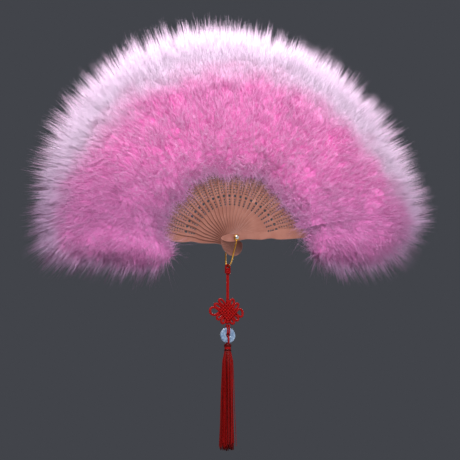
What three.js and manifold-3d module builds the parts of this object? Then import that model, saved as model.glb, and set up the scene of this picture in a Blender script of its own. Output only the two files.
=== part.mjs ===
// Feather folding fan, held open, with a knotted tassel pendant on a wire bail.
// Millimetres, +Z up, the front faces -Y. The origin is on the rivet's axis, halfway through the stack of sticks.

import * as THREE from 'three';
import { mergeVertices } from 'three/addons/utils/BufferGeometryUtils.js';
import Module from 'manifold-3d';

const wasm = await Module();
wasm.setup();

// Fan: how many sticks there are, how far they open and how they are stacked along the rivet.
const STAVES = 23;
const BACK_GUARD_RISE_DEGREES = 2.2;
const FRONT_GUARD_RISE_DEGREES = 8;
const CLEARANCE = 0.3;
const STAVE_THICKNESS = 1;
const GUARD_THICKNESS = 2;

// Every stick: a petal below the rivet, a neck, a swelling, a waist and a blade, then a thin rib into the plume.
const STICK = {
  tailLength: 20.5,
  tailHalf: 5,
  neckAt: 13,
  neckHalf: 3,
  swellAt: 34,
  swellHalf: 4.9,
  waistAt: 47,
  waistHalf: 4.2,
  bladeAt: 60,
  shoulderAt: 85,
  shoulderRound: 3,
  ribHalf: 1.5,
  ribEnd: 200,
};
const STAVE_BLADE_HALF = 5.4;
const GUARD_BLADE_HALF = 6.5;

// Piercing of a stave: three small round holes, a large one, then slots that slant away from the middle line.
const PIERCING = {
  smallRadius: 0.85,
  smallAt: 45.5,
  smallPitch: 3.1,
  smallCount: 3,
  largeRadius: 1.5,
  largeAt: 56.5,
  slotAt: 61,
  slotPitch: 2.9,
  slotRows: 4,
  slotLength: 2.3,
  slotWidth: 1.2,
  slotOffset: 1.5,
  slotSlantDegrees: 42,
};

// Rivet and the wire bail that hangs from its two ends.
const RIVET = { radius: 1.5, headRadius: 2.4, headHeight: 1.4 };
const WIRE_RADIUS = 0.9;
const BAIL = {
  drop: 31.4,
  lean: 2.2,
  frontBendAt: 20,
  frontBendIn: 5.8,
  lowestBack: 13.5,
  backReach: 1.9,
};

// Plumes: one for each stick, a wedge of down from just past the sticks' shoulders to the rim.
const PLUME = {
  shoulderGap: 1,
  sideReach: 266,
  topReach: 277,
  crownHeight: 4,
  halfThickness: 30,
};
const PLUME_START = STICK.shoulderAt + PLUME.shoulderGap;

// Lower fluff of the two guards' plumes, turned down past the guards: fuller at the back guard.
const LOBE = { innerRadius: 64, dropDegrees: 25.6 };
const FRONT_LOBE = { innerRadius: 128, dropDegrees: 20 };

// Cords and knots of the pendant.
const CORD_RADIUS = 0.95;
const HANGER = { loopHalf: 2.6, loopStretch: 1.25, knotRadius: 3.3, knotHeight: 5.6 };
const LEAD_CORD_LENGTH = 31;
const KNOT = { bodyHalf: 12.5, bodyThickness: 5, cordRadius: 1.25, sideLoop: 4.8, petalLong: 4.6, petalWide: 2.1 };
const STUB = { radius: 2.7, height: 2.6 };
const DISC = { radius: 9.7, holeRadius: 2.7, thickness: 3.6, rim: 0.7 };
const RING_CORD_SPREAD = 3.4;
const CAP = { radius: 4.6, height: 9.5 };
const SKIRT = { bottomRadius: 10, length: 125, flute: 0.7 };

// Facets of round things.
const FACETS = { wire: 6, cord: 5, hole: 8, smallHole: 5, turned: 12, ring: 10, petal: 7, disc: 18, skirt: 20 };

const EDGE_STEPS = 12;

const COLOURS = {
  stick: { color: 0xdb9a7c, roughness: 0.38, metalness: 0 },
  guard: { color: 0xe0a184, roughness: 0.36, metalness: 0 },
  plume: { color: 0xf4a3cf, roughness: 0.95, metalness: 0 },
  rivet: { color: 0xd9dce2, roughness: 0.25, metalness: 1 },
  wire: { color: 0xd8a645, roughness: 0.28, metalness: 1 },
  cord: { color: 0xb3141c, roughness: 0.75, metalness: 0 },
  stone: { color: 0xc4d6e4, roughness: 0.3, metalness: 0 },
  yarn: { color: 0xa31019, roughness: 0.7, metalness: 0 },
};

const STICKS = STAVES + 2;
const OPEN_SPAN = Math.PI - THREE.MathUtils.degToRad(BACK_GUARD_RISE_DEGREES + FRONT_GUARD_RISE_DEGREES);
const PITCH_ANGLE = OPEN_SPAN / (STICKS - 1);
const LAYER_PITCH = STAVE_THICKNESS + CLEARANCE;
const STACK_HALF = (STAVES * LAYER_PITCH + CLEARANCE) / 2 + GUARD_THICKNESS;
const EYELET_Y = STACK_HALF + CLEARANCE + WIRE_RADIUS;
const EYELET_RADIUS = RIVET.radius + CLEARANCE + WIRE_RADIUS;

function piece(name, geometry, look) {
  const mesh = new THREE.Mesh(geometry, new THREE.MeshStandardMaterial(COLOURS[look]));
  mesh.name = name;
  return mesh;
}

// Only positions, with shared vertices merged, so that the surface is closed.
function closed(geometry) {
  const bare = geometry.clone();
  bare.deleteAttribute('normal');
  bare.deleteAttribute('uv');
  return mergeVertices(bare);
}

function solid(geometry) {
  const merged = closed(geometry);
  const vertProperties = new Float32Array(merged.attributes.position.array);
  const triVerts = new Uint32Array(merged.index.array);
  return new wasm.Manifold(new wasm.Mesh({ numProp: 3, vertProperties, triVerts }));
}

function geometryOf(manifold) {
  const mesh = manifold.getMesh();
  const geometry = new THREE.BufferGeometry();
  geometry.setAttribute('position', new THREE.BufferAttribute(mesh.vertProperties, mesh.numProp));
  geometry.setIndex(new THREE.BufferAttribute(mesh.triVerts, 1));
  return geometry;
}

function joined(geometries) {
  return geometryOf(geometries.map(solid).reduce((whole, part) => whole.add(part)));
}

// A round tube along a curve, with flat ends.
function tube(curve, radius, steps, facets) {
  const section = new THREE.Shape(circlePoints(radius, facets));
  return new THREE.ExtrudeGeometry(section, { steps, bevelEnabled: false, extrudePath: curve });
}

function circlePoints(radius, facets, centreX = 0, centreY = 0) {
  const points = [];
  for (let i = 0; i < facets; i += 1) {
    const angle = (2 * Math.PI * (i + 0.5)) / facets;
    points.push(new THREE.Vector2(centreX + radius * Math.cos(angle), centreY + radius * Math.sin(angle)));
  }
  return points;
}

// A flat outline in (length, width) made into a plate of the given thickness, lying in XZ and centred on Y.
function plate(outline, thickness) {
  const geometry = new THREE.ExtrudeGeometry(outline, { depth: thickness, bevelEnabled: false });
  return geometry.rotateX(Math.PI / 2).translate(0, thickness / 2, 0);
}

// Sticks.

// The petal's outline, in shares of its length and of its half width.
const petalShares = [
  [0.94, 0.42],
  [0.62, 0.88],
  [0.28, 1],
  [0, 0.92],
];

function edgePoints(bladeHalf) {
  const s = STICK;
  const petal = petalShares.map(([alongShare, halfShare]) => (
    new THREE.Vector2(-s.tailLength * alongShare, s.tailHalf * halfShare)
  ));
  const curve = new THREE.SplineCurve([
    ...petal,
    new THREE.Vector2(s.neckAt, s.neckHalf),
    new THREE.Vector2((s.neckAt + s.swellAt) / 2, (s.neckHalf + s.swellHalf) / 2),
    new THREE.Vector2(s.swellAt, s.swellHalf),
    new THREE.Vector2(s.waistAt, s.waistHalf),
    new THREE.Vector2(s.bladeAt, bladeHalf),
    new THREE.Vector2(s.shoulderAt - s.shoulderRound, bladeHalf),
  ]);
  const edge = curve.getPoints(EDGE_STEPS);
  edge.push(new THREE.Vector2(s.shoulderAt, bladeHalf - s.shoulderRound));
  edge.push(new THREE.Vector2(s.shoulderAt, s.ribHalf));
  edge.push(new THREE.Vector2(s.ribEnd, s.ribHalf));
  return edge;
}

function stickOutline(bladeHalf) {
  const edge = edgePoints(bladeHalf);
  const tip = new THREE.Vector2(-STICK.tailLength, 0);
  const mirrored = edge.map((p) => new THREE.Vector2(p.x, -p.y));
  const outline = new THREE.Shape([tip, ...mirrored, ...edge.reverse()]);
  outline.holes.push(new THREE.Path(circlePoints(RIVET.radius + CLEARANCE, FACETS.hole)));
  return outline;
}

function slot(along, side) {
  const slant = THREE.MathUtils.degToRad(PIERCING.slotSlantDegrees);
  const reach = new THREE.Vector2(Math.cos(slant), side * Math.sin(slant)).multiplyScalar(PIERCING.slotLength / 2);
  const across = new THREE.Vector2(-reach.y, reach.x).setLength(PIERCING.slotWidth / 2);
  const centre = new THREE.Vector2(along, side * PIERCING.slotOffset);
  const corners = [
    centre.clone().sub(reach).sub(across),
    centre.clone().add(reach).sub(across),
    centre.clone().add(reach).add(across),
    centre.clone().sub(reach).add(across),
  ];
  return new THREE.Path(corners);
}

function pierce(outline) {
  const p = PIERCING;
  for (let i = 0; i < p.smallCount; i += 1) {
    const at = p.smallAt + i * p.smallPitch;
    outline.holes.push(new THREE.Path(circlePoints(p.smallRadius, FACETS.smallHole, at)));
  }
  outline.holes.push(new THREE.Path(circlePoints(p.largeRadius, FACETS.hole, p.largeAt)));
  for (let row = 0; row < p.slotRows; row += 1) {
    for (const side of [-1, 1]) {
      outline.holes.push(slot(p.slotAt + row * p.slotPitch, side));
    }
  }
  return outline;
}

function staveGeometry() {
  return plate(pierce(stickOutline(STAVE_BLADE_HALF)), STAVE_THICKNESS);
}

function guardGeometry() {
  return plate(stickOutline(GUARD_BLADE_HALF), GUARD_THICKNESS);
}

// Plumes.

// Half thickness of a plume in shares of its fullest, against shares of the way from its inner end to its tip.
const plumeProfileShares = [
  [0, 0.17],
  [0.07, 0.52],
  [0.2, 0.84],
  [0.46, 1],
  [0.74, 0.94],
  [0.9, 0.62],
  [0.97, 0.26],
];

// One closed ring of the plume's section, in the plane at this angle from the stick.
function sectionRing(station) {
  const { angle, inner, outer, fullShare, inset } = station;
  const front = [];
  const back = [];
  for (const [wayShare, thickShare] of plumeProfileShares) {
    const radius = inner + wayShare * (outer - inner);
    const half = thickShare * PLUME.halfThickness * fullShare;
    front.push([radius, -half]);
    back.unshift([radius, half]);
  }
  return [...front, [outer, 0], ...back].map(([radius, y]) => new THREE.Vector3(
    radius * Math.cos(angle) - inset * Math.sin(angle),
    y,
    radius * Math.sin(angle) + inset * Math.cos(angle),
  ));
}

// A closed skin over rings of equally many points, the first and last filled in flat.
function loft(rings) {
  const count = rings[0].length;
  const positions = rings.flat().flatMap((p) => [p.x, p.y, p.z]);
  const index = [];
  for (let r = 0; r + 1 < rings.length; r += 1) {
    for (let i = 0; i < count; i += 1) {
      const next = (i + 1) % count;
      const a = r * count + i;
      const b = r * count + next;
      index.push(a, b, a + count, b, b + count, a + count);
    }
  }
  const last = (rings.length - 1) * count;
  for (let i = 0; i + 1 < count / 2; i += 1) {
    const far = count - 1 - i;
    index.push(i, far, i + 1);
    index.push(last + i, last + i + 1, last + far);
    if (far - 1 > i + 1) {
      index.push(i + 1, far, far - 1);
      index.push(last + i + 1, last + far - 1, last + far);
    }
  }
  const geometry = new THREE.BufferGeometry();
  geometry.setAttribute('position', new THREE.Float32BufferAttribute(positions, 3));
  geometry.setIndex(index);
  return geometry;
}

// Reach of the plumes at an angle above the horizontal: longest at the top of the fan.
function reachAt(angle) {
  return PLUME.sideReach + (PLUME.topReach - PLUME.sideReach) * Math.sin(angle) ** 2;
}

function wedgeStations(angle) {
  const half = PITCH_ANGLE / 2;
  const gap = CLEARANCE / 2;
  const edge = { inner: PLUME_START, outer: reachAt(angle), fullShare: 1 };
  return [
    { ...edge, angle: -half, inset: gap },
    { ...edge, angle: 0, inset: 0, outer: edge.outer + PLUME.crownHeight },
    { ...edge, angle: half, inset: -gap },
  ];
}

// The down below a guard, in shares: how far round from the edge of the wedge, where it starts and where it ends.
const lobeShares = [
  { turnShare: 0.09, innerShare: 1, outerShare: 1, fullShare: 1 },
  { turnShare: 0.24, innerShare: 0.55, outerShare: 0.95, fullShare: 1 },
  { turnShare: 0.46, innerShare: 0.25, outerShare: 0.74, fullShare: 0.92 },
  { turnShare: 0.68, innerShare: 0.06, outerShare: 0.52, fullShare: 0.74 },
  { turnShare: 0.86, innerShare: 0, outerShare: 0.33, fullShare: 0.52 },
  { turnShare: 1, innerShare: 0.08, outerShare: 0.16, fullShare: 0.2 },
];

// The front guard's lower fluff is slimmer, and starts further out.
const frontLobeShares = [
  { turnShare: 0.1, innerShare: 0.9, outerShare: 0.88, fullShare: 1 },
  { turnShare: 0.3, innerShare: 0.74, outerShare: 0.75, fullShare: 0.98 },
  { turnShare: 0.5, innerShare: 0.64, outerShare: 0.61, fullShare: 0.9 },
  { turnShare: 0.7, innerShare: 0.5, outerShare: 0.45, fullShare: 0.76 },
  { turnShare: 0.87, innerShare: 0.31, outerShare: 0.29, fullShare: 0.54 },
  { turnShare: 1, innerShare: 0, outerShare: 0.16, fullShare: 0.22 },
];

function lobeStations(reach, lobe, shares) {
  const start = PITCH_ANGLE / 2;
  const turn = THREE.MathUtils.degToRad(lobe.dropDegrees);
  return shares.map(({ turnShare, innerShare, outerShare, fullShare }) => ({
    angle: start + turnShare * turn,
    inset: 0,
    inner: lobe.innerRadius + innerShare * (PLUME_START - lobe.innerRadius),
    outer: lobe.innerRadius + outerShare * (reach - lobe.innerRadius),
    fullShare,
  }));
}

// A blind channel from the plume's inner end, where the stick's rib lies.
function ribChannel(stickThickness) {
  const end = STICK.ribEnd + CLEARANCE;
  const start = LOBE.innerRadius;
  const length = end - start;
  const width = 2 * (STICK.ribHalf + CLEARANCE);
  const depth = stickThickness + 2 * CLEARANCE;
  return solid(new THREE.BoxGeometry(length, depth, width).translate((start + end) / 2, 0, 0));
}

// The wedge of one stick; side is 0, or the side on which a guard's lower fluff lies.
function plumeGeometry(angle, stickThickness, side) {
  const wedge = wedgeStations(angle);
  const lower = side < 0
    ? lobeStations(reachAt(angle), FRONT_LOBE, frontLobeShares)
    : lobeStations(reachAt(angle), LOBE, lobeShares);
  const stations = side === 0 ? wedge : [...wedge.slice(0, 2), ...lower];
  const rings = stations.map(sectionRing);
  if (side < 0) {
    for (const ring of rings) {
      ring.forEach((p) => { p.z = -p.z; });
    }
    rings.reverse();
  }
  return geometryOf(solid(loft(rings)).subtract(ribChannel(stickThickness)));
}

// Turned pieces, from a profile of (radius, height) about the +Z axis.
function turned(profile, facets) {
  const points = profile.map(([radius, height]) => new THREE.Vector2(radius, height));
  return new THREE.LatheGeometry(points, facets).rotateX(Math.PI / 2);
}

// A rivet head's dome, in shares of its radius and of its height above the seat.
const domeShares = [
  [1, 0],
  [1, 0.3],
  [0.62, 0.82],
  [0, 1],
];

// Rivet, set at both ends, lying along Y.
function rivetGeometry() {
  const { radius, headRadius, headHeight } = RIVET;
  const seat = EYELET_Y + WIRE_RADIUS + CLEARANCE;
  const dome = domeShares.map(([radiusShare, heightShare]) => (
    [headRadius * radiusShare, seat + headHeight * heightShare]
  ));
  const half = [[radius, seat], ...dome];
  const otherHalf = half.map(([r, height]) => [r, -height]).reverse();
  return turned([...otherHalf, ...half], FACETS.turned).rotateX(Math.PI / 2);
}

// Bail.

// The wire below the front bend, in shares of the lean, of the eyelet's distance along Y and of the drop.
const frontSweepShares = [
  [0.82, -0.41, 0.8],
  [0.36, 0.05, 0.945],
  [0, 0.5, 0.995],
];

// The wire behind the stack, in shares of its reach back and of the drop.
const backLegShares = [
  [0.9, 0.94],
  [1, 0.76],
  [0.99, 0.41],
];

// The wire from the front eyelet, down in front of the petals, across below them and up behind the stack.
function bailCurve() {
  const b = BAIL;
  const bend = new THREE.Vector3(-b.lean, -EYELET_Y + b.frontBendIn, -b.frontBendAt);
  const start = new THREE.Vector3(0, -EYELET_Y, -EYELET_RADIUS);
  const frontLeg = new THREE.Vector3(bend.x / 3, start.y, bend.z / 3);
  const sweep = frontSweepShares.map(([leanShare, eyeletShare, dropShare]) => (
    new THREE.Vector3(-b.lean * leanShare, EYELET_Y * eyeletShare, -b.drop * dropShare)
  ));
  const backLeg = backLegShares.map(([reachShare, dropShare]) => (
    new THREE.Vector3(0, (EYELET_Y + b.backReach) * reachShare, -b.drop * dropShare)
  ));
  return new THREE.CatmullRomCurve3([
    start,
    frontLeg,
    frontLeg.clone().add(bend).divideScalar(2),
    bend,
    ...sweep,
    new THREE.Vector3(0, b.lowestBack, -b.drop),
    ...backLeg,
    new THREE.Vector3(0, EYELET_Y, -EYELET_RADIUS),
  ]);
}

function bailGeometry() {
  const eyelets = [-EYELET_Y, EYELET_Y].map((y) => {
    const ring = new THREE.TorusGeometry(EYELET_RADIUS, WIRE_RADIUS, FACETS.wire, FACETS.ring);
    return ring.rotateX(Math.PI / 2).translate(0, y, 0);
  });
  return joined([tube(bailCurve(), WIRE_RADIUS, 26, FACETS.wire), ...eyelets]);
}

// Pendant: every height is measured down from the bail's lowest point, at one place along Y.

const strandSpreadShare = 0.92;
const knotTopShare = 1.232;
const STRAND_SPREAD = CORD_RADIUS * strandSpreadShare;

const PENDANT_Y = BAIL.lowestBack;
const LOOP_TOP = -BAIL.drop + WIRE_RADIUS + CLEARANCE + CORD_RADIUS;
const LOOP_CENTRE = LOOP_TOP - HANGER.loopHalf * HANGER.loopStretch;
const HANGER_FOOT = LOOP_CENTRE - HANGER.loopHalf * HANGER.loopStretch - HANGER.knotHeight;
const SWAY_PIVOT = HANGER_FOOT - CLEARANCE - CORD_RADIUS;
const LEAD_FOOT = SWAY_PIVOT - LEAD_CORD_LENGTH;
const KNOT_TOP = LEAD_FOOT - CLEARANCE;
const KNOT_CENTRE = KNOT_TOP - KNOT.bodyHalf * knotTopShare;
const STUB_TOP = KNOT_CENTRE - KNOT.bodyHalf;
const STUB_FOOT = STUB_TOP - STUB.height;
const TASSEL_PIVOT = STUB_FOOT - CLEARANCE - CORD_RADIUS;
const DISC_CENTRE = TASSEL_PIVOT - RING_CORD_SPREAD - DISC.radius;
const CAP_TOP = DISC_CENTRE - DISC.radius - CORD_RADIUS;
const SKIRT_TOP = CAP_TOP - CAP.height - CLEARANCE;

function at(x, z) {
  return new THREE.Vector3(x, PENDANT_Y, z);
}

// A closed ring of cord in the XZ plane: half length along its own direction, half width across it.
function cordRing(centre, halfLong, halfWide, directionAngle, radius, facets) {
  const points = [];
  for (let i = 0; i < facets; i += 1) {
    const turn = (2 * Math.PI * i) / facets;
    const along = halfLong * Math.cos(turn);
    const across = halfWide * Math.sin(turn);
    points.push({ turn, along, across });
  }
  const positions = [];
  const index = [];
  const sides = FACETS.cord;
  for (const { turn, along, across } of points) {
    const normal = new THREE.Vector2(Math.cos(turn) * halfWide, Math.sin(turn) * halfLong).normalize();
    for (let j = 0; j < sides; j += 1) {
      const round = (2 * Math.PI * j) / sides;
      const outwards = radius * Math.cos(round);
      const u = along + normal.x * outwards;
      const v = across + normal.y * outwards;
      const x = u * Math.cos(directionAngle) - v * Math.sin(directionAngle);
      const z = u * Math.sin(directionAngle) + v * Math.cos(directionAngle);
      positions.push(centre.x + x, centre.y + radius * Math.sin(round), centre.z + z);
    }
  }
  for (let i = 0; i < facets; i += 1) {
    for (let j = 0; j < sides; j += 1) {
      const a = i * sides + j;
      const b = i * sides + ((j + 1) % sides);
      const c = ((i + 1) % facets) * sides + j;
      const d = ((i + 1) % facets) * sides + ((j + 1) % sides);
      index.push(a, b, c, b, d, c);
    }
  }
  const geometry = new THREE.BufferGeometry();
  geometry.setAttribute('position', new THREE.Float32BufferAttribute(positions, 3));
  geometry.setIndex(index);
  return geometry;
}

function strand(x, top, foot, radius) {
  const shaft = new THREE.CylinderGeometry(radius, radius, top - foot, FACETS.hole);
  return shaft.rotateX(Math.PI / 2).translate(x, PENDANT_Y, (top + foot) / 2);
}

function ball(x, z, radius) {
  return new THREE.SphereGeometry(radius, FACETS.hole, FACETS.smallHole).rotateX(Math.PI / 2).translate(x, PENDANT_Y, z);
}

// A small round knot, in shares of its radius and of its height.
const barrelShares = [
  [0, 0],
  [0.62, 0],
  [1, 0.25],
  [1, 0.75],
  [0.62, 1],
  [0, 1],
];

function turnedShares(shares, radius, foot, top, facets) {
  const profile = shares.map(([radiusShare, heightShare]) => (
    [radius * radiusShare, foot + (top - foot) * heightShare]
  ));
  return turned(profile, facets).translate(0, PENDANT_Y, 0);
}

function barrel(top, foot, radius, facets) {
  return turnedShares(barrelShares, radius, foot, top, facets);
}

function hangerGeometry() {
  const loop = cordRing(
    at(0, LOOP_CENTRE), HANGER.loopHalf * HANGER.loopStretch, HANGER.loopHalf, Math.PI / 2, CORD_RADIUS, FACETS.ring,
  );
  const knotTop = HANGER_FOOT + HANGER.knotHeight;
  return joined([loop, barrel(knotTop + CORD_RADIUS / 2, HANGER_FOOT, HANGER.knotRadius, FACETS.hole)]);
}

// Two strands side by side, pressed together, rounded at the top where they turn under the hanger's knot.
function leadCordGeometry() {
  const parts = [-STRAND_SPREAD, STRAND_SPREAD].flatMap((x) => [
    strand(x, SWAY_PIVOT, LEAD_FOOT, CORD_RADIUS),
    ball(x, SWAY_PIVOT, CORD_RADIUS),
  ]);
  return joined(parts);
}

// Petals of the knot: direction from its centre in degrees, and how far out they stand in shares of the body.
const petalPlaces = [
  { degrees: 67, outShare: 1.06 },
  { degrees: 40, outShare: 1.05 },
  { degrees: 126, outShare: 1.14 },
  { degrees: 153, outShare: 1.18 },
  { degrees: -35, outShare: 0.95 },
  { degrees: -63, outShare: 0.92 },
  { degrees: -145, outShare: 0.98 },
  { degrees: -117, outShare: 0.935 },
];

// The two side loops, in shares of the body and of the loop's own size.
const sideLoopPlaces = [
  { side: -1, outShare: 1.47, longShare: 1.06 },
  { side: 1, outShare: 1.27, longShare: 0.81 },
];

function knotBody() {
  const h = KNOT.bodyHalf;
  const outline = new THREE.Shape([
    new THREE.Vector2(h, 0),
    new THREE.Vector2(0, h),
    new THREE.Vector2(-h, 0),
    new THREE.Vector2(0, -h),
  ]);
  return plate(outline, KNOT.bodyThickness).translate(0, PENDANT_Y, KNOT_CENTRE);
}

function mysticKnotGeometry() {
  const k = KNOT;
  const parts = [knotBody()];
  for (const { side, outShare, longShare } of sideLoopPlaces) {
    const centre = at(side * k.bodyHalf * outShare, KNOT_CENTRE);
    parts.push(cordRing(centre, k.sideLoop * longShare, k.sideLoop, 0, k.cordRadius, FACETS.ring));
  }
  for (const { degrees, outShare } of petalPlaces) {
    const angle = THREE.MathUtils.degToRad(degrees);
    const out = k.bodyHalf * outShare;
    const centre = at(out * Math.cos(angle), KNOT_CENTRE + out * Math.sin(angle));
    parts.push(cordRing(centre, k.petalLong, k.petalWide, angle, k.cordRadius, FACETS.petal));
  }
  parts.push(strand(-STRAND_SPREAD, KNOT_TOP, KNOT_CENTRE, CORD_RADIUS));
  parts.push(strand(STRAND_SPREAD, KNOT_TOP, KNOT_CENTRE, CORD_RADIUS));
  parts.push(barrel(STUB_TOP + k.cordRadius, STUB_FOOT, STUB.radius, FACETS.hole));
  return joined(parts);
}

// Where the disc's cord parts, in shares of its way out to the disc's face and of the height that it parts in.
const partingShares = [
  [0.45, 0.35],
  [1, 0.8],
];

// The cord that carries the disc: it parts above the disc and runs down both faces and through the hole, to the cap.
function ringCordGeometry() {
  const face = DISC.thickness / 2 + CLEARANCE + CORD_RADIUS;
  const top = TASSEL_PIVOT;
  const foot = CAP_TOP + CLEARANCE;
  const halves = [-1, 1].map((side) => {
    const beside = (share, z) => new THREE.Vector3(0, PENDANT_Y + side * face * share, z);
    const parting = partingShares.map(([outShare, dropShare]) => (
      beside(outShare, top - RING_CORD_SPREAD * dropShare)
    ));
    const run = new THREE.CatmullRomCurve3([
      beside(0, top),
      ...parting,
      beside(1, DISC_CENTRE + DISC.radius / 2),
      beside(1, DISC_CENTRE - DISC.radius / 2),
      beside(1, foot),
    ]);
    return tube(run, CORD_RADIUS, 14, FACETS.cord);
  });
  const through = new THREE.CylinderGeometry(CORD_RADIUS, CORD_RADIUS, 2 * face, FACETS.cord);
  through.translate(0, PENDANT_Y, DISC_CENTRE);
  return joined([...halves, through, ball(0, top, CORD_RADIUS)]);
}

function discGeometry() {
  const { radius, holeRadius, thickness, rim } = DISC;
  const half = thickness / 2;
  const profile = [
    [holeRadius, -half + rim],
    [holeRadius + rim, -half],
    [radius - rim, -half],
    [radius, -half + rim],
    [radius, half - rim],
    [radius - rim, half],
    [holeRadius + rim, half],
    [holeRadius, half - rim],
    [holeRadius, -half + rim],
  ];
  return turned(profile, FACETS.disc).rotateX(Math.PI / 2).translate(0, PENDANT_Y, DISC_CENTRE);
}

// The tassel's cap, drawn in at its tie, in shares of its radius and of its height.
const capShares = [
  [0, 0],
  [1, 0],
  [0.78, 0.3],
  [0.78, 0.52],
  [1, 0.72],
  [0.82, 0.93],
  [0.4, 1],
  [0, 1],
];

function capGeometry() {
  return turnedShares(capShares, CAP.radius, CAP_TOP - CAP.height, CAP_TOP, FACETS.turned);
}

// The skirt's outline, in shares of its radius at the foot and of its length.
const skirtShares = [
  [0, 0],
  [0.9, 0],
  [1, 0.03],
  [0.9, 0.35],
  [0.8, 0.65],
  [0.68, 0.92],
  [0.46, 1],
  [0, 1],
];

// The skirt of yarn: a slim flared bundle, fluted where the strands part.
function skirtGeometry() {
  const foot = SKIRT_TOP - SKIRT.length;
  const geometry = closed(turnedShares(skirtShares, SKIRT.bottomRadius, foot, SKIRT_TOP, FACETS.skirt));
  geometry.translate(0, -PENDANT_Y, 0);
  const position = geometry.attributes.position;
  for (let i = 0; i < position.count; i += 1) {
    const radius = Math.hypot(position.getX(i), position.getY(i));
    const turn = Math.atan2(position.getY(i), position.getX(i));
    const ridge = Math.cos((turn * FACETS.skirt) / 2) * SKIRT.flute * (radius / SKIRT.bottomRadius);
    const factor = radius > 0 ? (radius + ridge) / radius : 1;
    position.setXY(i, position.getX(i) * factor, position.getY(i) * factor);
  }
  return geometry.translate(0, PENDANT_Y, 0);
}

// Assembly.

function stickAngle(index) {
  return Math.PI - THREE.MathUtils.degToRad(BACK_GUARD_RISE_DEGREES) - index * PITCH_ANGLE;
}

// Layers run from the back guard, at the left, to the front guard, at the right.
function layerY(index) {
  const staveY = (STAVES + 1) / 2 - index;
  if (index === 0 || index === STICKS - 1) {
    return Math.sign(staveY) * (STACK_HALF - GUARD_THICKNESS / 2);
  }
  return staveY * LAYER_PITCH;
}

function stick(index) {
  const group = new THREE.Group();
  const angle = stickAngle(index);
  const names = { 0: 'back', [STICKS - 1]: 'front' };
  if (names[index]) {
    const side = index === 0 ? 1 : -1;
    group.add(piece(`guard_${names[index]}`, guardGeometry(), 'guard'));
    group.add(piece(`plume_guard_${names[index]}`, plumeGeometry(angle, GUARD_THICKNESS, side), 'plume'));
  } else {
    const number = String(index).padStart(2, '0');
    group.add(piece(`stave_${number}`, staveGeometry(), 'stick'));
    group.add(piece(`plume_${number}`, plumeGeometry(angle, STAVE_THICKNESS, 0), 'plume'));
  }
  group.position.y = layerY(index);
  group.rotation.y = -angle;
  return group;
}

const fan = new THREE.Group();
for (let index = 0; index < STICKS; index += 1) {
  fan.add(stick(index));
}
fan.add(piece('rivet', rivetGeometry(), 'rivet'));
fan.add(piece('bail', bailGeometry(), 'wire'));

const pendant = new THREE.Group();
pendant.add(piece('hanger_loop', hangerGeometry(), 'cord'));
pendant.add(piece('lead_cord', leadCordGeometry(), 'cord'));
pendant.add(piece('mystic_knot', mysticKnotGeometry(), 'cord'));
pendant.add(piece('ring_cord', ringCordGeometry(), 'cord'));
pendant.add(piece('stone_disc', discGeometry(), 'stone'));
pendant.add(piece('tassel_cap', capGeometry(), 'cord'));
pendant.add(piece('tassel_skirt', skirtGeometry(), 'yarn'));
fan.add(pendant);

export default fan;
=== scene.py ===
"""A feather folding fan, held open, with a knotted tassel pendant on a wire bail.

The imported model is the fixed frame, and every visible piece is made around it. Lengths are in metres, +Z is
up and the front faces -Y. The origin is on the rivet's axis, halfway through the stack of sticks.
"""

import logging
import math
from abc import ABC, abstractmethod
from collections.abc import Iterable, Sequence
from dataclasses import dataclass
from enum import Enum
from typing import Any

import bpy
import numpy as np
from mathutils import Matrix, Vector


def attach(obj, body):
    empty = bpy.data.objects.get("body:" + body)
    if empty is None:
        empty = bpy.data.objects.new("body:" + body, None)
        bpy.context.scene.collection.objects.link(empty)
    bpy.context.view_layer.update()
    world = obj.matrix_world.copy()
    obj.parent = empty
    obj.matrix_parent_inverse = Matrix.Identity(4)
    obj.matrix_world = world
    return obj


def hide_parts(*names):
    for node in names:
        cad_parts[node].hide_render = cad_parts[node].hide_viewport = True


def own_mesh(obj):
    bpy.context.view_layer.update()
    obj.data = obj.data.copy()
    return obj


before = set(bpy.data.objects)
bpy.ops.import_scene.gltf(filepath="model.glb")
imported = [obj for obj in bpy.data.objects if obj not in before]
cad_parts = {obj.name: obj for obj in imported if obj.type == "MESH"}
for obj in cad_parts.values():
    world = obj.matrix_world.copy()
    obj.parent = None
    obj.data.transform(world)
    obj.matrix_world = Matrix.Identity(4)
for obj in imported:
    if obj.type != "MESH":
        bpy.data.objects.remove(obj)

LOG = logging.getLogger("feather_fan")
MM = 0.001
Array = np.ndarray
Node = bpy.types.Node
Socket = bpy.types.NodeSocket
Object = bpy.types.Object


# Helpers for node trees.


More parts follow.
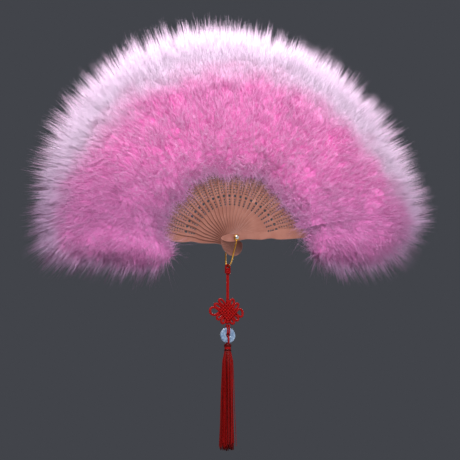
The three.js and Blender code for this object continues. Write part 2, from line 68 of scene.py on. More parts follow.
class NodeSketch:
    """Writes nodes and links into one node tree."""

    def __init__(self, tree: bpy.types.NodeTree) -> None:
        """Works on one tree."""
        self.tree = tree

    def add(self, kind: str, feeds: dict[str | int, Any] | None = None, **settings: Any) -> Node:
        """Adds a node, sets its properties and feeds its inputs.

        Args:
            kind: The node's type name.
            feeds: Values or output sockets for its inputs, by name or place.
            **settings: Properties of the node.

        Returns:
            The new node.
        """
        node = self.tree.nodes.new(kind)
        for name, value in settings.items():
            setattr(node, name, value)
        for key, value in (feeds or {}).items():
            self.feed(self.entry(node, key), value)
        return node

    def entry(self, node: Node, key: str | int) -> Socket:
        """Finds the input in use with this name or place."""
        if isinstance(key, int):
            return node.inputs[key]
        return next(s for s in node.inputs if s.name == key and s.enabled)

    def feed(self, entry: Socket, value: Any) -> None:
        """Links an output to an input, or sets the input's own value.

        Args:
            entry: The input socket.
            value: An output socket, a node whose first output in use is meant, or a plain value.
        """
        if isinstance(value, Node):
            value = next(s for s in value.outputs if s.enabled)
        if isinstance(value, Socket):
            self.tree.links.new(value, entry)
        else:
            entry.default_value = value

    def math(self, operation: str, *values: Any, clamp: bool = False) -> Node:
        """Adds a Math node."""
        return self.add("ShaderNodeMath", dict(enumerate(values)), operation=operation, use_clamp=clamp)

    def vector(self, operation: str, *values: Any, scale: Any = None) -> Node:
        """Adds a Vector Math node.

        Args:
            operation: What it does, such as ADD or SCALE.
            *values: Its vector inputs.
            scale: The factor of a SCALE.

        Returns:
            The new node.
        """
        node = self.add("ShaderNodeVectorMath", dict(enumerate(values)), operation=operation)
        if scale is not None:
            self.feed(self.entry(node, "Scale"), scale)
        return node

    def times(self, *values: Any, clamp: bool = False) -> Node:
        """Multiplies two numbers."""
        return self.math("MULTIPLY", *values, clamp=clamp)

    def plus(self, *values: Any, clamp: bool = False) -> Node:
        """Adds two numbers."""
        return self.math("ADD", *values, clamp=clamp)

    def minus(self, *values: Any, clamp: bool = False) -> Node:
        """Takes the second number from the first."""
        return self.math("SUBTRACT", *values, clamp=clamp)

    def scaled(self, value: Any, scale: Any) -> Node:
        """Scales a vector by a number."""
        return self.vector("SCALE", value, scale=scale)

    def part(self, value: Any, axis: str) -> Socket:
        """Gives one part of a vector, X, Y or Z."""
        return self.add("ShaderNodeSeparateXYZ", {0: value}).outputs[axis]

    def remap(
        self, value: Any, low: float, high: float, to_low: float = 0.0, to_high: float = 1.0
    ) -> Node:
        """Adds a clamped, smooth Map Range node."""
        feeds = {"Value": value, "From Min": low, "From Max": high, "To Min": to_low, "To Max": to_high}
        return self.add("ShaderNodeMapRange", feeds, interpolation_type="SMOOTHSTEP")

    def blend(self, share: Any, first: Any, second: Any, mode: str = "MIX") -> Socket:
        """Adds a colour Mix node.

        Args:
            share: How much of the second colour shows.
            first: The first colour.
            second: The second colour.
            mode: The blend mode.

        Returns:
            The mixed colour's socket.
        """
        node = self.add("ShaderNodeMix", data_type="RGBA", blend_type=mode)
        self.feed(self.entry(node, "Factor"), share)
        self.feed(self.entry(node, "A"), first)
        self.feed(self.entry(node, "B"), second)
        return next(s for s in node.outputs if s.enabled)


def colour(red: float, green: float, blue: float) -> tuple[float, float, float, float]:
    """Turns a screen colour into Blender's linear one.

    Args:
        red: Red, from 0 to 255.
        green: Green, from 0 to 255.
        blue: Blue, from 0 to 255.

    Returns:
        Linear red, green and blue, and a full alpha.
    """
    top, bend, foot, slope, power = 255.0, 0.04045, 12.92, 1.055, 2.4
    shares = [value / top for value in (red, green, blue)]
    linear = [v / foot if v <= bend else ((v + slope - 1.0) / slope) ** power for v in shares]
    return (linear[0], linear[1], linear[2], 1.0)


# Helpers for paths and meshes.


def smooth_path(points: Sequence[Sequence[float]], steps: int, cyclic: bool = False) -> Array:
    """Runs a uniform Catmull-Rom curve through points.

    Args:
        points: The points that the curve goes through.
        steps: How many stretches the curve is cut into.
        cyclic: Whether the last point joins the first.

    Returns:
        The points of the curve, one row each.
    """
    anchors = np.asarray(points, float)
    count = len(anchors)
    spans = count if cyclic else count - 1
    at = np.linspace(0.0, spans, steps + 1)[: -1 if cyclic else None]
    index = np.minimum(at.astype(int), spans - 1)
    t = (at - index)[:, None]

    def pick(offset: int) -> Array:
        """Gives the anchor this many places on, for each point."""
        where = index + offset
        return anchors[where % count] if cyclic else anchors[np.clip(where, 0, count - 1)]

    before, start, end, after = (pick(offset) for offset in (-1, 0, 1, 2))
    linear = (end - before) * t
    square = (2.0 * before - 5.0 * start + 4.0 * end - after) * t**2
    cube = (3.0 * start - 3.0 * end + after - before) * t**3
    return start + (linear + square + cube) / 2.0


def interpolate(way: Any, table: Sequence[tuple[float, float]]) -> Any:
    """Reads a table of (way, value) pairs with straight lines between its rows."""
    places, values = zip(*table)
    return np.interp(way, places, values)


def helix(
    centre: Sequence[float], radius: float, top: float, foot: float, turns: float, steps: int
) -> Array:
    """Winds a helix down about a vertical line.

    Args:
        centre: X and Y of the line.
        radius: The helix's radius.
        top: Height of its first point.
        foot: Height of its last point.
        turns: How many times it goes round.
        steps: How many stretches a turn is cut into.

    Returns:
        The points of the helix.
    """
    count = int(turns * steps) + 1
    turn = np.linspace(0.0, 2.0 * math.pi * turns, count)
    height = np.linspace(top, foot, count)
    return np.stack([centre[0] + radius * np.cos(turn), centre[1] + radius * np.sin(turn), height], 1)


class Meshes:
    """Makes plain mesh objects at the scene's origin."""

    @staticmethod
    def new(name: str, points: Array, faces: Sequence = (), edges: Sequence = ()) -> Object:
        """Makes an object from points, faces and edges.

        Args:
            name: The object's name.
            points: Its points, one row each.
            faces: Its faces, as point numbers.
            edges: Its loose edges, as point numbers.

        Returns:
            The new object, linked to the scene.
        """
        mesh = bpy.data.meshes.new(name)
        mesh.from_pydata([tuple(p) for p in points], [tuple(e) for e in edges], [tuple(f) for f in faces])
        mesh.update()
        made = bpy.data.objects.new(name, mesh)
        bpy.context.scene.collection.objects.link(made)
        return made

    @staticmethod
    def chains(name: str, paths: Iterable[tuple[Array, bool]]) -> Object:
        """Makes one object of several lines of edges, for a tree to turn into curves.

        Args:
            name: The object's name.
            paths: Each line's points, and whether it closes on itself.

        Returns:
            The new object.
        """
        points: list = []
        edges: list = []
        for line, cyclic in paths:
            first = len(points)
            points.extend(line)
            edges.extend((i, i + 1) for i in range(first, len(points) - 1))
            if cyclic:
                edges.append((len(points) - 1, first))
        return Meshes.new(name, np.array(points), edges=edges)

    @staticmethod
    def turned(
        name: str, profile: Sequence[tuple[float, float]], facets: int, ribs: int = 0, depth: float = 0.0
    ) -> Object:
        """Turns a profile about +Z.

        Args:
            name: The object's name.
            profile: Rows of radius and height that start and end on the axis, or close on themselves.
            facets: How many facets go round.
            ribs: How many ribs stand round it.
            depth: How high the ribs are.

        Returns:
            The new object, with its faces outwards.
        """
        closed = profile[0] == profile[-1]
        rows = profile[:-1] if closed else profile
        turn = np.arange(facets) * 2.0 * math.pi / facets
        points: list = []
        rings: list[list[int]] = []
        for radius, height in rows:
            if radius <= 0.0:
                rings.append([len(points)] * facets)
                points.append((0.0, 0.0, height))
                continue
            swell = radius + depth * np.abs(np.cos(turn * ribs / 2.0)) * min(1.0, radius / (2.0 * MM))
            rings.append(list(range(len(points), len(points) + facets)))
            points.extend(zip(swell * np.cos(turn), swell * np.sin(turn), [height] * facets))
        pairs = list(zip(rings, rings[1:] + rings[:1])) if closed else list(zip(rings, rings[1:]))
        faces = []
        for low, high in pairs:
            for i in range(facets):
                j = (i + 1) % facets
                face = list(dict.fromkeys((low[i], low[j], high[j], high[i])))
                faces.append(face)
        made = Meshes.new(name, np.array(points), faces)
        Meshes.smooth(made)
        return made

    @staticmethod
    def smooth(made: Object) -> None:
        """Shades every face of an object smoothly."""
        made.data.polygons.foreach_set("use_smooth", [True] * len(made.data.polygons))
        made.data.update()

    @staticmethod
    def place(made: Object, matrix: Matrix) -> Object:
        """Moves an object's mesh, and leaves the object at the origin.

        Args:
            made: The object.
            matrix: Where its mesh goes.

        Returns:
            The same object.
        """
        made.data.transform(matrix)
        made.data.update()
        return made

    @staticmethod
    def copied(source: Object, name: str) -> Object:
        """Makes a copy of an object with a mesh of its own."""
        made = bpy.data.objects.new(name, source.data.copy())
        made.data.name = name
        bpy.context.scene.collection.objects.link(made)
        return made

    @staticmethod
    def bevelled(made: Object, width: float) -> Object:
        """Rounds an object's sharp edges.

        Args:
            made: The object.
            width: How far from the edge the rounding starts.

        Returns:
            The same object.
        """
        modifier = made.modifiers.new("rounded_edges", "BEVEL")
        modifier.width = width
        modifier.segments = 2
        modifier.limit_method = "ANGLE"
        modifier.angle_limit = math.radians(40.0)
        modifier.use_clamp_overlap = False
        modifier.harden_normals = False
        graph = bpy.context.evaluated_depsgraph_get()
        mesh = bpy.data.meshes.new_from_object(made.evaluated_get(graph), depsgraph=graph)
        made.modifiers.remove(modifier)
        made.data = mesh
        mesh.name = made.name
        return made

    @staticmethod
    def joined(name: str, parts: Sequence[Object]) -> Object:
        """Joins several objects' meshes and materials into one object.

        Args:
            name: The new object's name.
            parts: The objects, which are used up.

        Returns:
            The joined object.
        """
        bpy.ops.object.select_all(action="DESELECT")
        for part in parts:
            part.select_set(True)
        bpy.context.view_layer.objects.active = parts[0]
        bpy.ops.object.join()
        parts[0].name = name
        parts[0].data.name = name
        return parts[0]

    @staticmethod
    def store(made: Object, name: str, values: Array, domain: str = "POINT") -> None:
        """Keeps a number or a vector for each point or face of an object's mesh.

        Args:
            made: The object.
            name: The attribute's name.
            values: One number or one row of three for each element.
            domain: POINT or FACE.
        """
        values = np.asarray(values, np.float32)
        is_vector = values.ndim > 1
        kept = made.data.attributes.new(name, "FLOAT_VECTOR" if is_vector else "FLOAT", domain)
        kept.data.foreach_set("vector" if is_vector else "value", values.ravel())


# Geometry node trees.


class SocketKind(Enum):
    """Kinds of input that a geometry recipe takes."""

    LENGTH = "NodeSocketFloat"
    COUNT = "NodeSocketInt"
    PLACE = "NodeSocketVector"
    FINISH = "NodeSocketMaterial"


class GeometryRecipe(ABC):
    """A geometry node tree with named inputs, built once and used for many pieces."""

    title: str = ""
    inputs: dict[str, SocketKind] = {}

    def __init__(self) -> None:
        """Builds the tree with its named inputs."""
        self.tree = bpy.data.node_groups.new(self.title, "GeometryNodeTree")
        face = self.tree.interface
        face.new_socket("Geometry", in_out="INPUT", socket_type="NodeSocketGeometry")
        self.keys = {}
        for name, kind in {**self.inputs, "Finish": SocketKind.FINISH}.items():
            self.keys[name] = face.new_socket(name, in_out="INPUT", socket_type=kind.value).identifier
        face.new_socket("Geometry", in_out="OUTPUT", socket_type="NodeSocketGeometry")
        self.sketch = NodeSketch(self.tree)
        self.start = self.sketch.add("NodeGroupInput")
        shape = self.sketch.add("GeometryNodeRealizeInstances", {0: self.draw()})
        dressed = self.sketch.add(
            "GeometryNodeSetMaterial", {0: shape, "Material": self.start.outputs["Finish"]}
        )
        self.sketch.add("NodeGroupOutput", {0: dressed})

    @abstractmethod
    def draw(self) -> Node:
        """Draws the tree.

        Returns:
            The node that gives the finished shape.
        """

    def given(self, name: str) -> Socket:
        """Gives the output socket of one of the tree's inputs."""
        return self.start.outputs[name]

    def grow(self, source: Object, name: str, finish: bpy.types.Material, **values: Any) -> Object:
        """Runs the tree on an object and keeps the result as a plain mesh.

        Args:
            source: The object that the tree starts from. It becomes the result.
            name: The finished object's name.
            finish: The material that it gets.
            **values: The tree's inputs, with underscores for spaces.

        Returns:
            The finished object, with no modifier left on it.
        """
        modifier = source.modifiers.new(self.title, "NODES")
        modifier.node_group = self.tree
        modifier[self.keys["Finish"]] = finish
        for key, value in values.items():
            modifier[self.keys[key.replace("_", " ")]] = value
        graph = bpy.context.evaluated_depsgraph_get()
        mesh = bpy.data.meshes.new_from_object(
            source.evaluated_get(graph), preserve_all_data_layers=True, depsgraph=graph
        )
        source.modifiers.remove(modifier)
        source.data = mesh
        source.name = mesh.name = name
        return source

    def ring(self, sides: Any, radius: Any) -> Node:
        """Adds a round outline, a curve."""
        feeds = {"Resolution": sides, "Radius": radius}
        return self.sketch.add("GeometryNodeCurvePrimitiveCircle", feeds, mode="RADIUS")

    def keep(self, shape: Any, name: str, value: Any, kind: str = "FLOAT", domain: str = "POINT") -> Node:
        """Adds a node that stores a named attribute.

        Args:
            shape: The geometry to store it on.
            name: The attribute's name.
            value: The value to store.
            kind: FLOAT or FLOAT_VECTOR.
            domain: POINT, FACE or INSTANCE.

        Returns:
            The new node.
        """
        node = self.sketch.add("GeometryNodeStoreNamedAttribute", data_type=kind, domain=domain)
        self.sketch.feed(node.inputs["Geometry"], shape)
        self.sketch.feed(node.inputs["Name"], name)
        self.sketch.feed(self.sketch.entry(node, "Value"), value)
        return node

    def kept(self, name: str, kind: str = "FLOAT") -> Node:
        """Adds a node that reads a named attribute."""
        return self.sketch.add("GeometryNodeInputNamedAttribute", {"Name": name}, data_type=kind)

    def any_number(self, low: float, high: float, seed: int) -> Node:
        """Adds a node that gives each element its own number from low to high."""
        return self.sketch.add(
            "FunctionNodeRandomValue", {"Min": low, "Max": high, "Seed": seed}, data_type="FLOAT"
        )

    def any_vector(self, seed: int) -> Node:
        """Adds a node that gives each element its own vector from -1 to 1 on each axis."""
        feeds = {"Min": (-1.0, -1.0, -1.0), "Max": (1.0, 1.0, 1.0), "Seed": seed}
        return self.sketch.add("FunctionNodeRandomValue", feeds, data_type="FLOAT_VECTOR")


class CordRecipe(GeometryRecipe):
    """A round cord or wire along each line of edges, with its lay kept as attributes along and around."""

    title = "cord_along_a_path"
    inputs = {"Radius": SocketKind.LENGTH, "Sides": SocketKind.COUNT}

    def draw(self) -> Node:
        """Sweeps a circle along the lines.

        Returns:
            The node that gives the closed, smooth tubes.
        """
        s = self.sketch
        line = s.add("GeometryNodeMeshToCurve", {0: self.given("Geometry")})
        length = s.add("GeometryNodeSplineParameter").outputs["Length"]
        line = self.keep(line, "along", length)
        circle = self.ring(self.given("Sides"), self.given("Radius"))
        outwards = s.vector("NORMALIZE", s.add("GeometryNodeInputPosition"))
        circle = self.keep(circle.outputs["Curve"], "around", outwards, "FLOAT_VECTOR")
        tube = s.add(
            "GeometryNodeCurveToMesh", {"Curve": line, "Profile Curve": circle, "Fill Caps": True}
        )
        return s.add("GeometryNodeSetShadeSmooth", {0: tube})


class PiercedPlateRecipe(GeometryRecipe):
    """A flat stick cut from its outline, pierced by a row of holes and by two rows of slanted slots."""

    title = "pierced_plate"
    inputs = {
        **dict.fromkeys(
            (
                "Thickness", "Small Radius", "Small At", "Small Pitch", "Large Radius", "Large At",
                "Slot At", "Slot Pitch", "Slot Length", "Slot Width", "Slot Offset", "Slot Slant",
            ),
            SocketKind.LENGTH,
        ),
        **dict.fromkeys(("Small Count", "Large Count", "Slot Rows"), SocketKind.COUNT),
    }

    def row(self, at: Any, pitch: Any, count: Any, offset: Any, hole: Any, slant: Any) -> Node:
        """Repeats a hole's outline along the stick.

        Args:
            at: Where the first one is.
            pitch: The step between them.
            count: How many there are.
            offset: How far off the middle line they are.
            hole: The hole's outline, a curve.
            slant: How far each is turned.

        Returns:
            The node that gives the row of outlines.
        """
        s = self.sketch
        first = s.add("ShaderNodeCombineXYZ", {"X": at, "Y": offset})
        step = s.add("ShaderNodeCombineXYZ", {"X": pitch})
        places = s.add(
            "GeometryNodeMeshLine", {"Count": count, "Start Location": first, "Offset": step},
            mode="OFFSET",
        )
        turn = s.add("FunctionNodeEulerToRotation", {0: s.add("ShaderNodeCombineXYZ", {"Z": slant})})
        return s.add(
            "GeometryNodeInstanceOnPoints", {"Points": places, "Instance": hole, "Rotation": turn}
        )

    def draw(self) -> Node:
        """Fills the outline round its holes and gives it its thickness.

        Returns:
            The node that gives the closed plate, centred on its thickness.
        """
        s, given = self.sketch, self.given
        outline = s.add("GeometryNodeMeshToCurve", {0: given("Geometry")})
        corners, slot_corners = 14, 3
        small = self.ring(corners, given("Small Radius"))
        large = self.ring(corners, given("Large Radius"))
        slot = s.add(
            "GeometryNodeCurvePrimitiveQuadrilateral",
            {"Width": given("Slot Length"), "Height": given("Slot Width")}, mode="RECTANGLE",
        )
        nearly_half = 0.46
        rounding = s.times(given("Slot Width"), nearly_half)
        slot = s.add(
            "GeometryNodeFilletCurve", {"Curve": slot, "Count": slot_corners, "Radius": rounding},
            mode="POLY",
        )
        other_side = s.times(given("Slot Offset"), -1.0)
        other_slant = s.times(given("Slot Slant"), -1.0)
        rows = [
            self.row(given("Small At"), given("Small Pitch"), given("Small Count"), 0.0, small, 0.0),
            self.row(given("Large At"), 0.0, given("Large Count"), 0.0, large, 0.0),
            self.row(
                given("Slot At"), given("Slot Pitch"), given("Slot Rows"), given("Slot Offset"), slot,
                given("Slot Slant"),
            ),
            self.row(
                given("Slot At"), given("Slot Pitch"), given("Slot Rows"), other_side, slot, other_slant
            ),
        ]
        lines = s.add("GeometryNodeJoinGeometry")
        for part in [outline, *rows]:
            s.feed(lines.inputs[0], part)
        lines = s.add("GeometryNodeRealizeInstances", {0: lines})
        plate = s.add("GeometryNodeFillCurve", {0: lines}, mode="TRIANGLES")
        upright = s.add("ShaderNodeCombineXYZ", {"Z": 1.0})
        raised = s.add(
            "GeometryNodeExtrudeMesh",
            {"Mesh": plate, "Offset": upright, "Offset Scale": given("Thickness"), "Individual": False},
            mode="FACES",
        )
        base = s.add("GeometryNodeFlipFaces", {0: plate})
        whole = s.add("GeometryNodeJoinGeometry")
        for part in (raised, base):
            s.feed(whole.inputs[0], part)
        tight = 0.00001
        whole = s.add("GeometryNodeMergeByDistance", {0: whole, "Distance": tight})
        down = s.times(given("Thickness"), -1.0 / 2.0)
        return s.add(
            "GeometryNodeSetPosition", {0: whole, "Offset": s.add("ShaderNodeCombineXYZ", {"Z": down})}
        )


@dataclass(frozen=True)
class StrandKind:
    """One kind of strand in the down, and how it grows."""

    density: float
    radius: float
    segments: int
    length_share: float
    lift: float
    ruffle: float
    stray: float
    clump: float
    clump_size: float
    curl: float
    paleness: float
    raggedness: float
    swirl: float
    seed: int
    crowd: str = "crowd"


class DownRecipe(GeometryRecipe):
    """Down that grows over a plume's core, along its flow, in several kinds of strand.

    The core keeps its flow, the reach of its strands, how pale they are and how densely they stand.
    """

    title = "down_over_a_core"
    lift_range = (0.25, 1.0)
    length_range = (0.75, 1.1)
    stray_shares = (1.0, 0.5, 1.0)
    curl_shares = (1.0, 0.35, 1.0)
    curl_still = 0.45
    free_depth = 42.0 * MM
    pressed_share = 0.62
    inputs = {"Density": SocketKind.LENGTH, "Length": SocketKind.LENGTH, "Seed": SocketKind.COUNT}

    def __init__(self, kinds: Sequence[StrandKind]) -> None:
        """Builds the tree."""
        self.kinds = kinds
        super().__init__()

    def noise(self, place: Any, size: float) -> Node:
        """Adds a smooth field of vectors from -0.5 to 0.5.

        Args:
            place: Where it is read.
            size: The size of its swirls.

        Returns:
            The node that gives the vectors.
        """
        s = self.sketch
        field_node = s.add("ShaderNodeTexNoise", {"Vector": place, "Scale": 1.0 / size, "Detail": 1.0})
        return s.vector("SUBTRACT", field_node.outputs["Color"], (0.5, 0.5, 0.5))

    def strands(self, kind: StrandKind) -> Node:
        """Grows one kind of strand.

        Args:
            kind: The kind of strand.

        Returns:
            The node that gives the strands.
        """
        s = self.sketch
        density = s.times(s.times(self.given("Density"), self.kept(kind.crowd)), kind.density)
        seed = s.plus(self.given("Seed"), kind.seed)
        spread = s.add(
            "GeometryNodeDistributePointsOnFaces",
            {"Mesh": self.given("Geometry"), "Density": density, "Seed": seed},
            distribute_method="RANDOM",
        )
        place = s.add("GeometryNodeInputPosition")
        cells = s.add(
            "ShaderNodeTexVoronoi", {"Vector": place, "Scale": 1.0 / kind.clump_size},
            voronoi_dimensions="3D",
        )
        gather = s.scaled(s.vector("SUBTRACT", cells.outputs["Position"], place), scale=kind.clump)
        swirl = s.scaled(self.noise(s.vector("ADD", place, gather), kind.swirl), scale=kind.ruffle)
        stray = s.scaled(self.any_vector(kind.seed), scale=kind.stray)
        stray = s.vector("MULTIPLY", stray, self.stray_shares)
        lift = s.scaled(
            self.kept("out", "FLOAT_VECTOR"),
            scale=s.times(self.any_number(*self.lift_range, kind.seed + 1), kind.lift),
        )
        heading = s.vector("ADD", self.kept("flow", "FLOAT_VECTOR"), swirl)
        heading = s.vector("ADD", heading, stray)
        heading = s.vector("NORMALIZE", s.vector("ADD", heading, lift))
        length = s.times(self.kept("reach"), self.given("Length"))
        length = s.times(
            length, s.times(self.any_number(*self.length_range, kind.seed + 2), kind.length_share)
        )
        tuft = s.part(cells.outputs["Color"], "X")
        length = s.times(length, s.remap(tuft, 0.0, 1.0, 1.0 - kind.raggedness, 1.0 + kind.raggedness))
        curl = s.scaled(self.any_vector(kind.seed + 3), scale=s.times(length, kind.curl))
        curl = s.vector("MULTIPLY", curl, self.curl_shares)
        points = self.keep(spread.outputs["Points"], "gather", gather, "FLOAT_VECTOR")
        points = self.keep(points, "curl", curl, "FLOAT_VECTOR")
        points = self.keep(points, "tone", self.any_number(0.0, 1.0, kind.seed + 4))
        points = self.keep(points, "wisp", kind.paleness)
        needle = s.add(
            "GeometryNodeMeshCone",
            {
                "Vertices": 3, "Side Segments": kind.segments, "Radius Top": 0.0,
                "Radius Bottom": kind.radius, "Depth": 1.0,
            },
            fill_type="NGON",
        )
        height = s.part(s.add("GeometryNodeInputPosition"), "Z")
        needle = self.keep(needle.outputs["Mesh"], "way", height)
        turn = s.add("FunctionNodeAlignRotationToVector", {"Vector": heading}, axis="Z")
        size = s.add("ShaderNodeCombineXYZ", {"X": 1.0, "Y": 1.0, "Z": length})
        grown = s.add(
            "GeometryNodeInstanceOnPoints",
            {"Points": points, "Instance": needle, "Rotation": turn, "Scale": size},
        )
        grown = s.add("GeometryNodeRealizeInstances", {0: grown})
        way = self.kept("way")
        bent = s.scaled(
            self.kept("curl", "FLOAT_VECTOR"), scale=s.times(way, s.minus(way, self.curl_still))
        )
        drawn = s.scaled(self.kept("gather", "FLOAT_VECTOR"), scale=way)
        return s.add(
            "GeometryNodeSetPosition", {"Geometry": grown, "Offset": s.vector("ADD", bent, drawn)}
        )

    def draw(self) -> Node:
        """Grows every kind of strand and keeps the core under them.

        Returns:
            The node that gives the plume.
        """
        s = self.sketch
        whole = s.add("GeometryNodeJoinGeometry")
        core = self.keep(self.given("Geometry"), "way", 0.0)
        # The core gets the lowest tone, which the down's material turns into painted shade between the
        # strands.
        core = self.keep(core, "tone", -1.0)
        s.feed(whole.inputs[0], core)
        for kind in self.kinds:
            s.feed(whole.inputs[0], self.strands(kind))
        pressed = s.add("GeometryNodeSetPosition", {"Geometry": whole, "Offset": self.press()})
        return s.add("GeometryNodeSetShadeSmooth", {0: pressed})

    def press(self) -> Socket:
        """Draws what stands too far out of the fan's two faces back towards them."""
        s = self.sketch
        depth = s.part(s.add("GeometryNodeInputPosition"), "Y")
        beyond = s.math("MAXIMUM", s.minus(s.math("ABSOLUTE", depth), self.free_depth), 0.0)
        back = s.times(s.times(s.math("SIGN", depth), beyond), -self.pressed_share)
        return s.add("ShaderNodeCombineXYZ", {"Y": back}).outputs[0]


class FringeRecipe(GeometryRecipe):
    """A tassel's hanging strands, spread evenly over its round section."""

    title = "fringe_of_yarn"
    flare_power = 0.28
    lock_scale = 1.7
    swirl_scale = 1.6
    swirl_down = 2.2
    drift_shares = (0.35, 0.35, 0.0)
    least_uneven = 0.4
    yarn_sides = 4
    inputs = {
        "Strands": SocketKind.COUNT,
        **dict.fromkeys(
            ("Top Radius", "Foot Radius", "Length", "Yarn Radius", "Wave", "Uneven", "Gather"),
            SocketKind.LENGTH,
        ),
        "Top Centre": SocketKind.PLACE,
    }

    def draw(self) -> Node:
        """Hangs the strands.

        Returns:
            The node that gives them as thin tubes.
        """
        s, given = self.sketch, self.given
        golden_turn, stretches = 2.399963, 11
        index = s.add("GeometryNodeInputIndex")
        share = s.math("SQRT", s.math("DIVIDE", s.plus(index, 0.5), given("Strands")))
        turn = s.times(index, golden_turn)
        home = s.add("ShaderNodeCombineXYZ", {"X": s.math("COSINE", turn), "Y": s.math("SINE", turn)})
        points = s.add("GeometryNodePoints", {"Count": given("Strands")})
        points = self.keep(points, "home", s.scaled(home, scale=share), "FLOAT_VECTOR")
        points = self.keep(points, "tone", self.any_number(0.0, 1.0, 3))
        points = self.keep(points, "drift", self.any_vector(5), "FLOAT_VECTOR")
        line = s.add("GeometryNodeCurvePrimitiveLine", {"End": (0.0, 0.0, -1.0)})
        line = s.add("GeometryNodeResampleCurve", {"Curve": line, "Count": stretches})
        hung = s.add("GeometryNodeInstanceOnPoints", {"Points": points, "Instance": line})
        hung = s.add("GeometryNodeRealizeInstances", {0: hung})
        depth = s.times(s.part(s.add("GeometryNodeInputPosition"), "Z"), -1.0)
        hung = self.keep(hung, "way", depth)
        way = self.kept("way")
        flare = s.times(
            s.minus(given("Foot Radius"), given("Top Radius")), s.math("POWER", way, self.flare_power)
        )
        radius = s.plus(given("Top Radius"), flare)
        locks = s.add(
            "ShaderNodeTexVoronoi",
            {"Vector": self.kept("home", "FLOAT_VECTOR"), "Scale": self.lock_scale},
            voronoi_dimensions="3D",
        )
        gather = s.vector("SUBTRACT", locks.outputs["Position"], self.kept("home", "FLOAT_VECTOR"))
        gather = s.scaled(
            s.vector("MULTIPLY", gather, (1.0, 1.0, 0.0)), scale=s.times(way, given("Gather"))
        )
        across = s.scaled(s.vector("ADD", self.kept("home", "FLOAT_VECTOR"), gather), scale=radius)
        swirl_place = s.scaled(self.kept("home", "FLOAT_VECTOR"), scale=self.swirl_scale)
        swirl_down = s.add("ShaderNodeCombineXYZ", {"Z": s.times(way, self.swirl_down)})
        swirl_place = s.vector("ADD", swirl_place, swirl_down)
        swirl = s.add("ShaderNodeTexNoise", {"Vector": swirl_place, "Scale": 1.0, "Detail": 1.0})
        swirl = s.vector("SUBTRACT", swirl.outputs["Color"], (0.5, 0.5, 0.5))
        swirl = s.vector("MULTIPLY", swirl, (1.0, 1.0, 0.0))
        drift = s.vector("MULTIPLY", self.kept("drift", "FLOAT_VECTOR"), self.drift_shares)
        sway = s.scaled(s.vector("ADD", swirl, drift), scale=s.times(way, given("Wave")))
        lock = s.part(locks.outputs["Color"], "X")
        missing = s.times(self.kept("tone"), s.plus(lock, self.least_uneven))
        end = s.minus(1.0, s.times(missing, given("Uneven")))
        drop = s.times(s.times(way, given("Length")), s.times(end, -1.0))
        place = s.vector("ADD", s.vector("ADD", across, sway), s.add("ShaderNodeCombineXYZ", {"Z": drop}))
        place = s.vector("ADD", place, given("Top Centre"))
        hung = s.add("GeometryNodeSetPosition", {"Geometry": hung, "Position": place})
        section = self.ring(self.yarn_sides, given("Yarn Radius"))
        tubes = s.add(
            "GeometryNodeCurveToMesh", {"Curve": hung, "Profile Curve": section, "Fill Caps": True}
        )
        return s.add("GeometryNodeSetShadeSmooth", {0: tubes})


# Shader groups and finishes.


class ShaderEffect(ABC):
    """A shader node group that more than one finish uses, built once."""

    title: str = ""
    inputs: dict[str, tuple[str, Any]] = {}
    outputs: dict[str, str] = {}

    def __init__(self) -> None:
        """Builds the group with its named sockets."""
        self.tree = bpy.data.node_groups.new(self.title, "ShaderNodeTree")
        for name, (kind, value) in self.inputs.items():
            entry = self.tree.interface.new_socket(name, in_out="INPUT", socket_type=kind)
            if value is not None:
                entry.default_value = value
        for name, kind in self.outputs.items():
            self.tree.interface.new_socket(name, in_out="OUTPUT", socket_type=kind)
        self.sketch = NodeSketch(self.tree)
        self.start = self.sketch.add("NodeGroupInput")
        self.end = self.sketch.add("NodeGroupOutput")
        self.draw()

    @abstractmethod
    def draw(self) -> None:
        """Draws the group from its inputs to its outputs."""

    def place(self, sketch: NodeSketch, **feeds: Any) -> Node:
        """Puts the group into a material.

        Args:
            sketch: The material's tree.
            **feeds: The group's inputs, with underscores for spaces.

        Returns:
            The group's node.
        """
        node = sketch.add("ShaderNodeGroup", node_tree=self.tree)
        for key, value in feeds.items():
            sketch.feed(node.inputs[key.replace("_", " ")], value)
        return node


class MottleEffect(ShaderEffect):
    """Soft patches: a mask from 0 to 1 that changes over the surface, and a fine height."""

    title = "soft_mottle"
    inputs = {
        "Place": ("NodeSocketVector", None),
        "Patch Size": ("NodeSocketFloat", 0.01),
        "Grain Size": ("NodeSocketFloat", 0.001),
        "Contrast": ("NodeSocketFloat", 1.0),
    }
    outputs = {"Mask": "NodeSocketFloat", "Grain": "NodeSocketFloat"}

    def draw(self) -> None:
        """Draws two noises, one for the patches and one for the grain."""
        s, start = self.sketch, self.start.outputs
        patches = s.add(
            "ShaderNodeTexNoise",
            {"Vector": start["Place"], "Scale": s.math("DIVIDE", 1.0, start["Patch Size"]), "Detail": 3.0},
        )
        centred = s.times(s.minus(patches.outputs[0], 0.5), s.times(start["Contrast"], 2.0))
        mask = s.plus(centred, 0.5, clamp=True)
        grain = s.add(
            "ShaderNodeTexNoise",
            {"Vector": start["Place"], "Scale": s.math("DIVIDE", 1.0, start["Grain Size"]), "Detail": 2.0},
        )
        s.feed(self.end.inputs["Mask"], mask)
        s.feed(self.end.inputs["Grain"], grain.outputs[0])


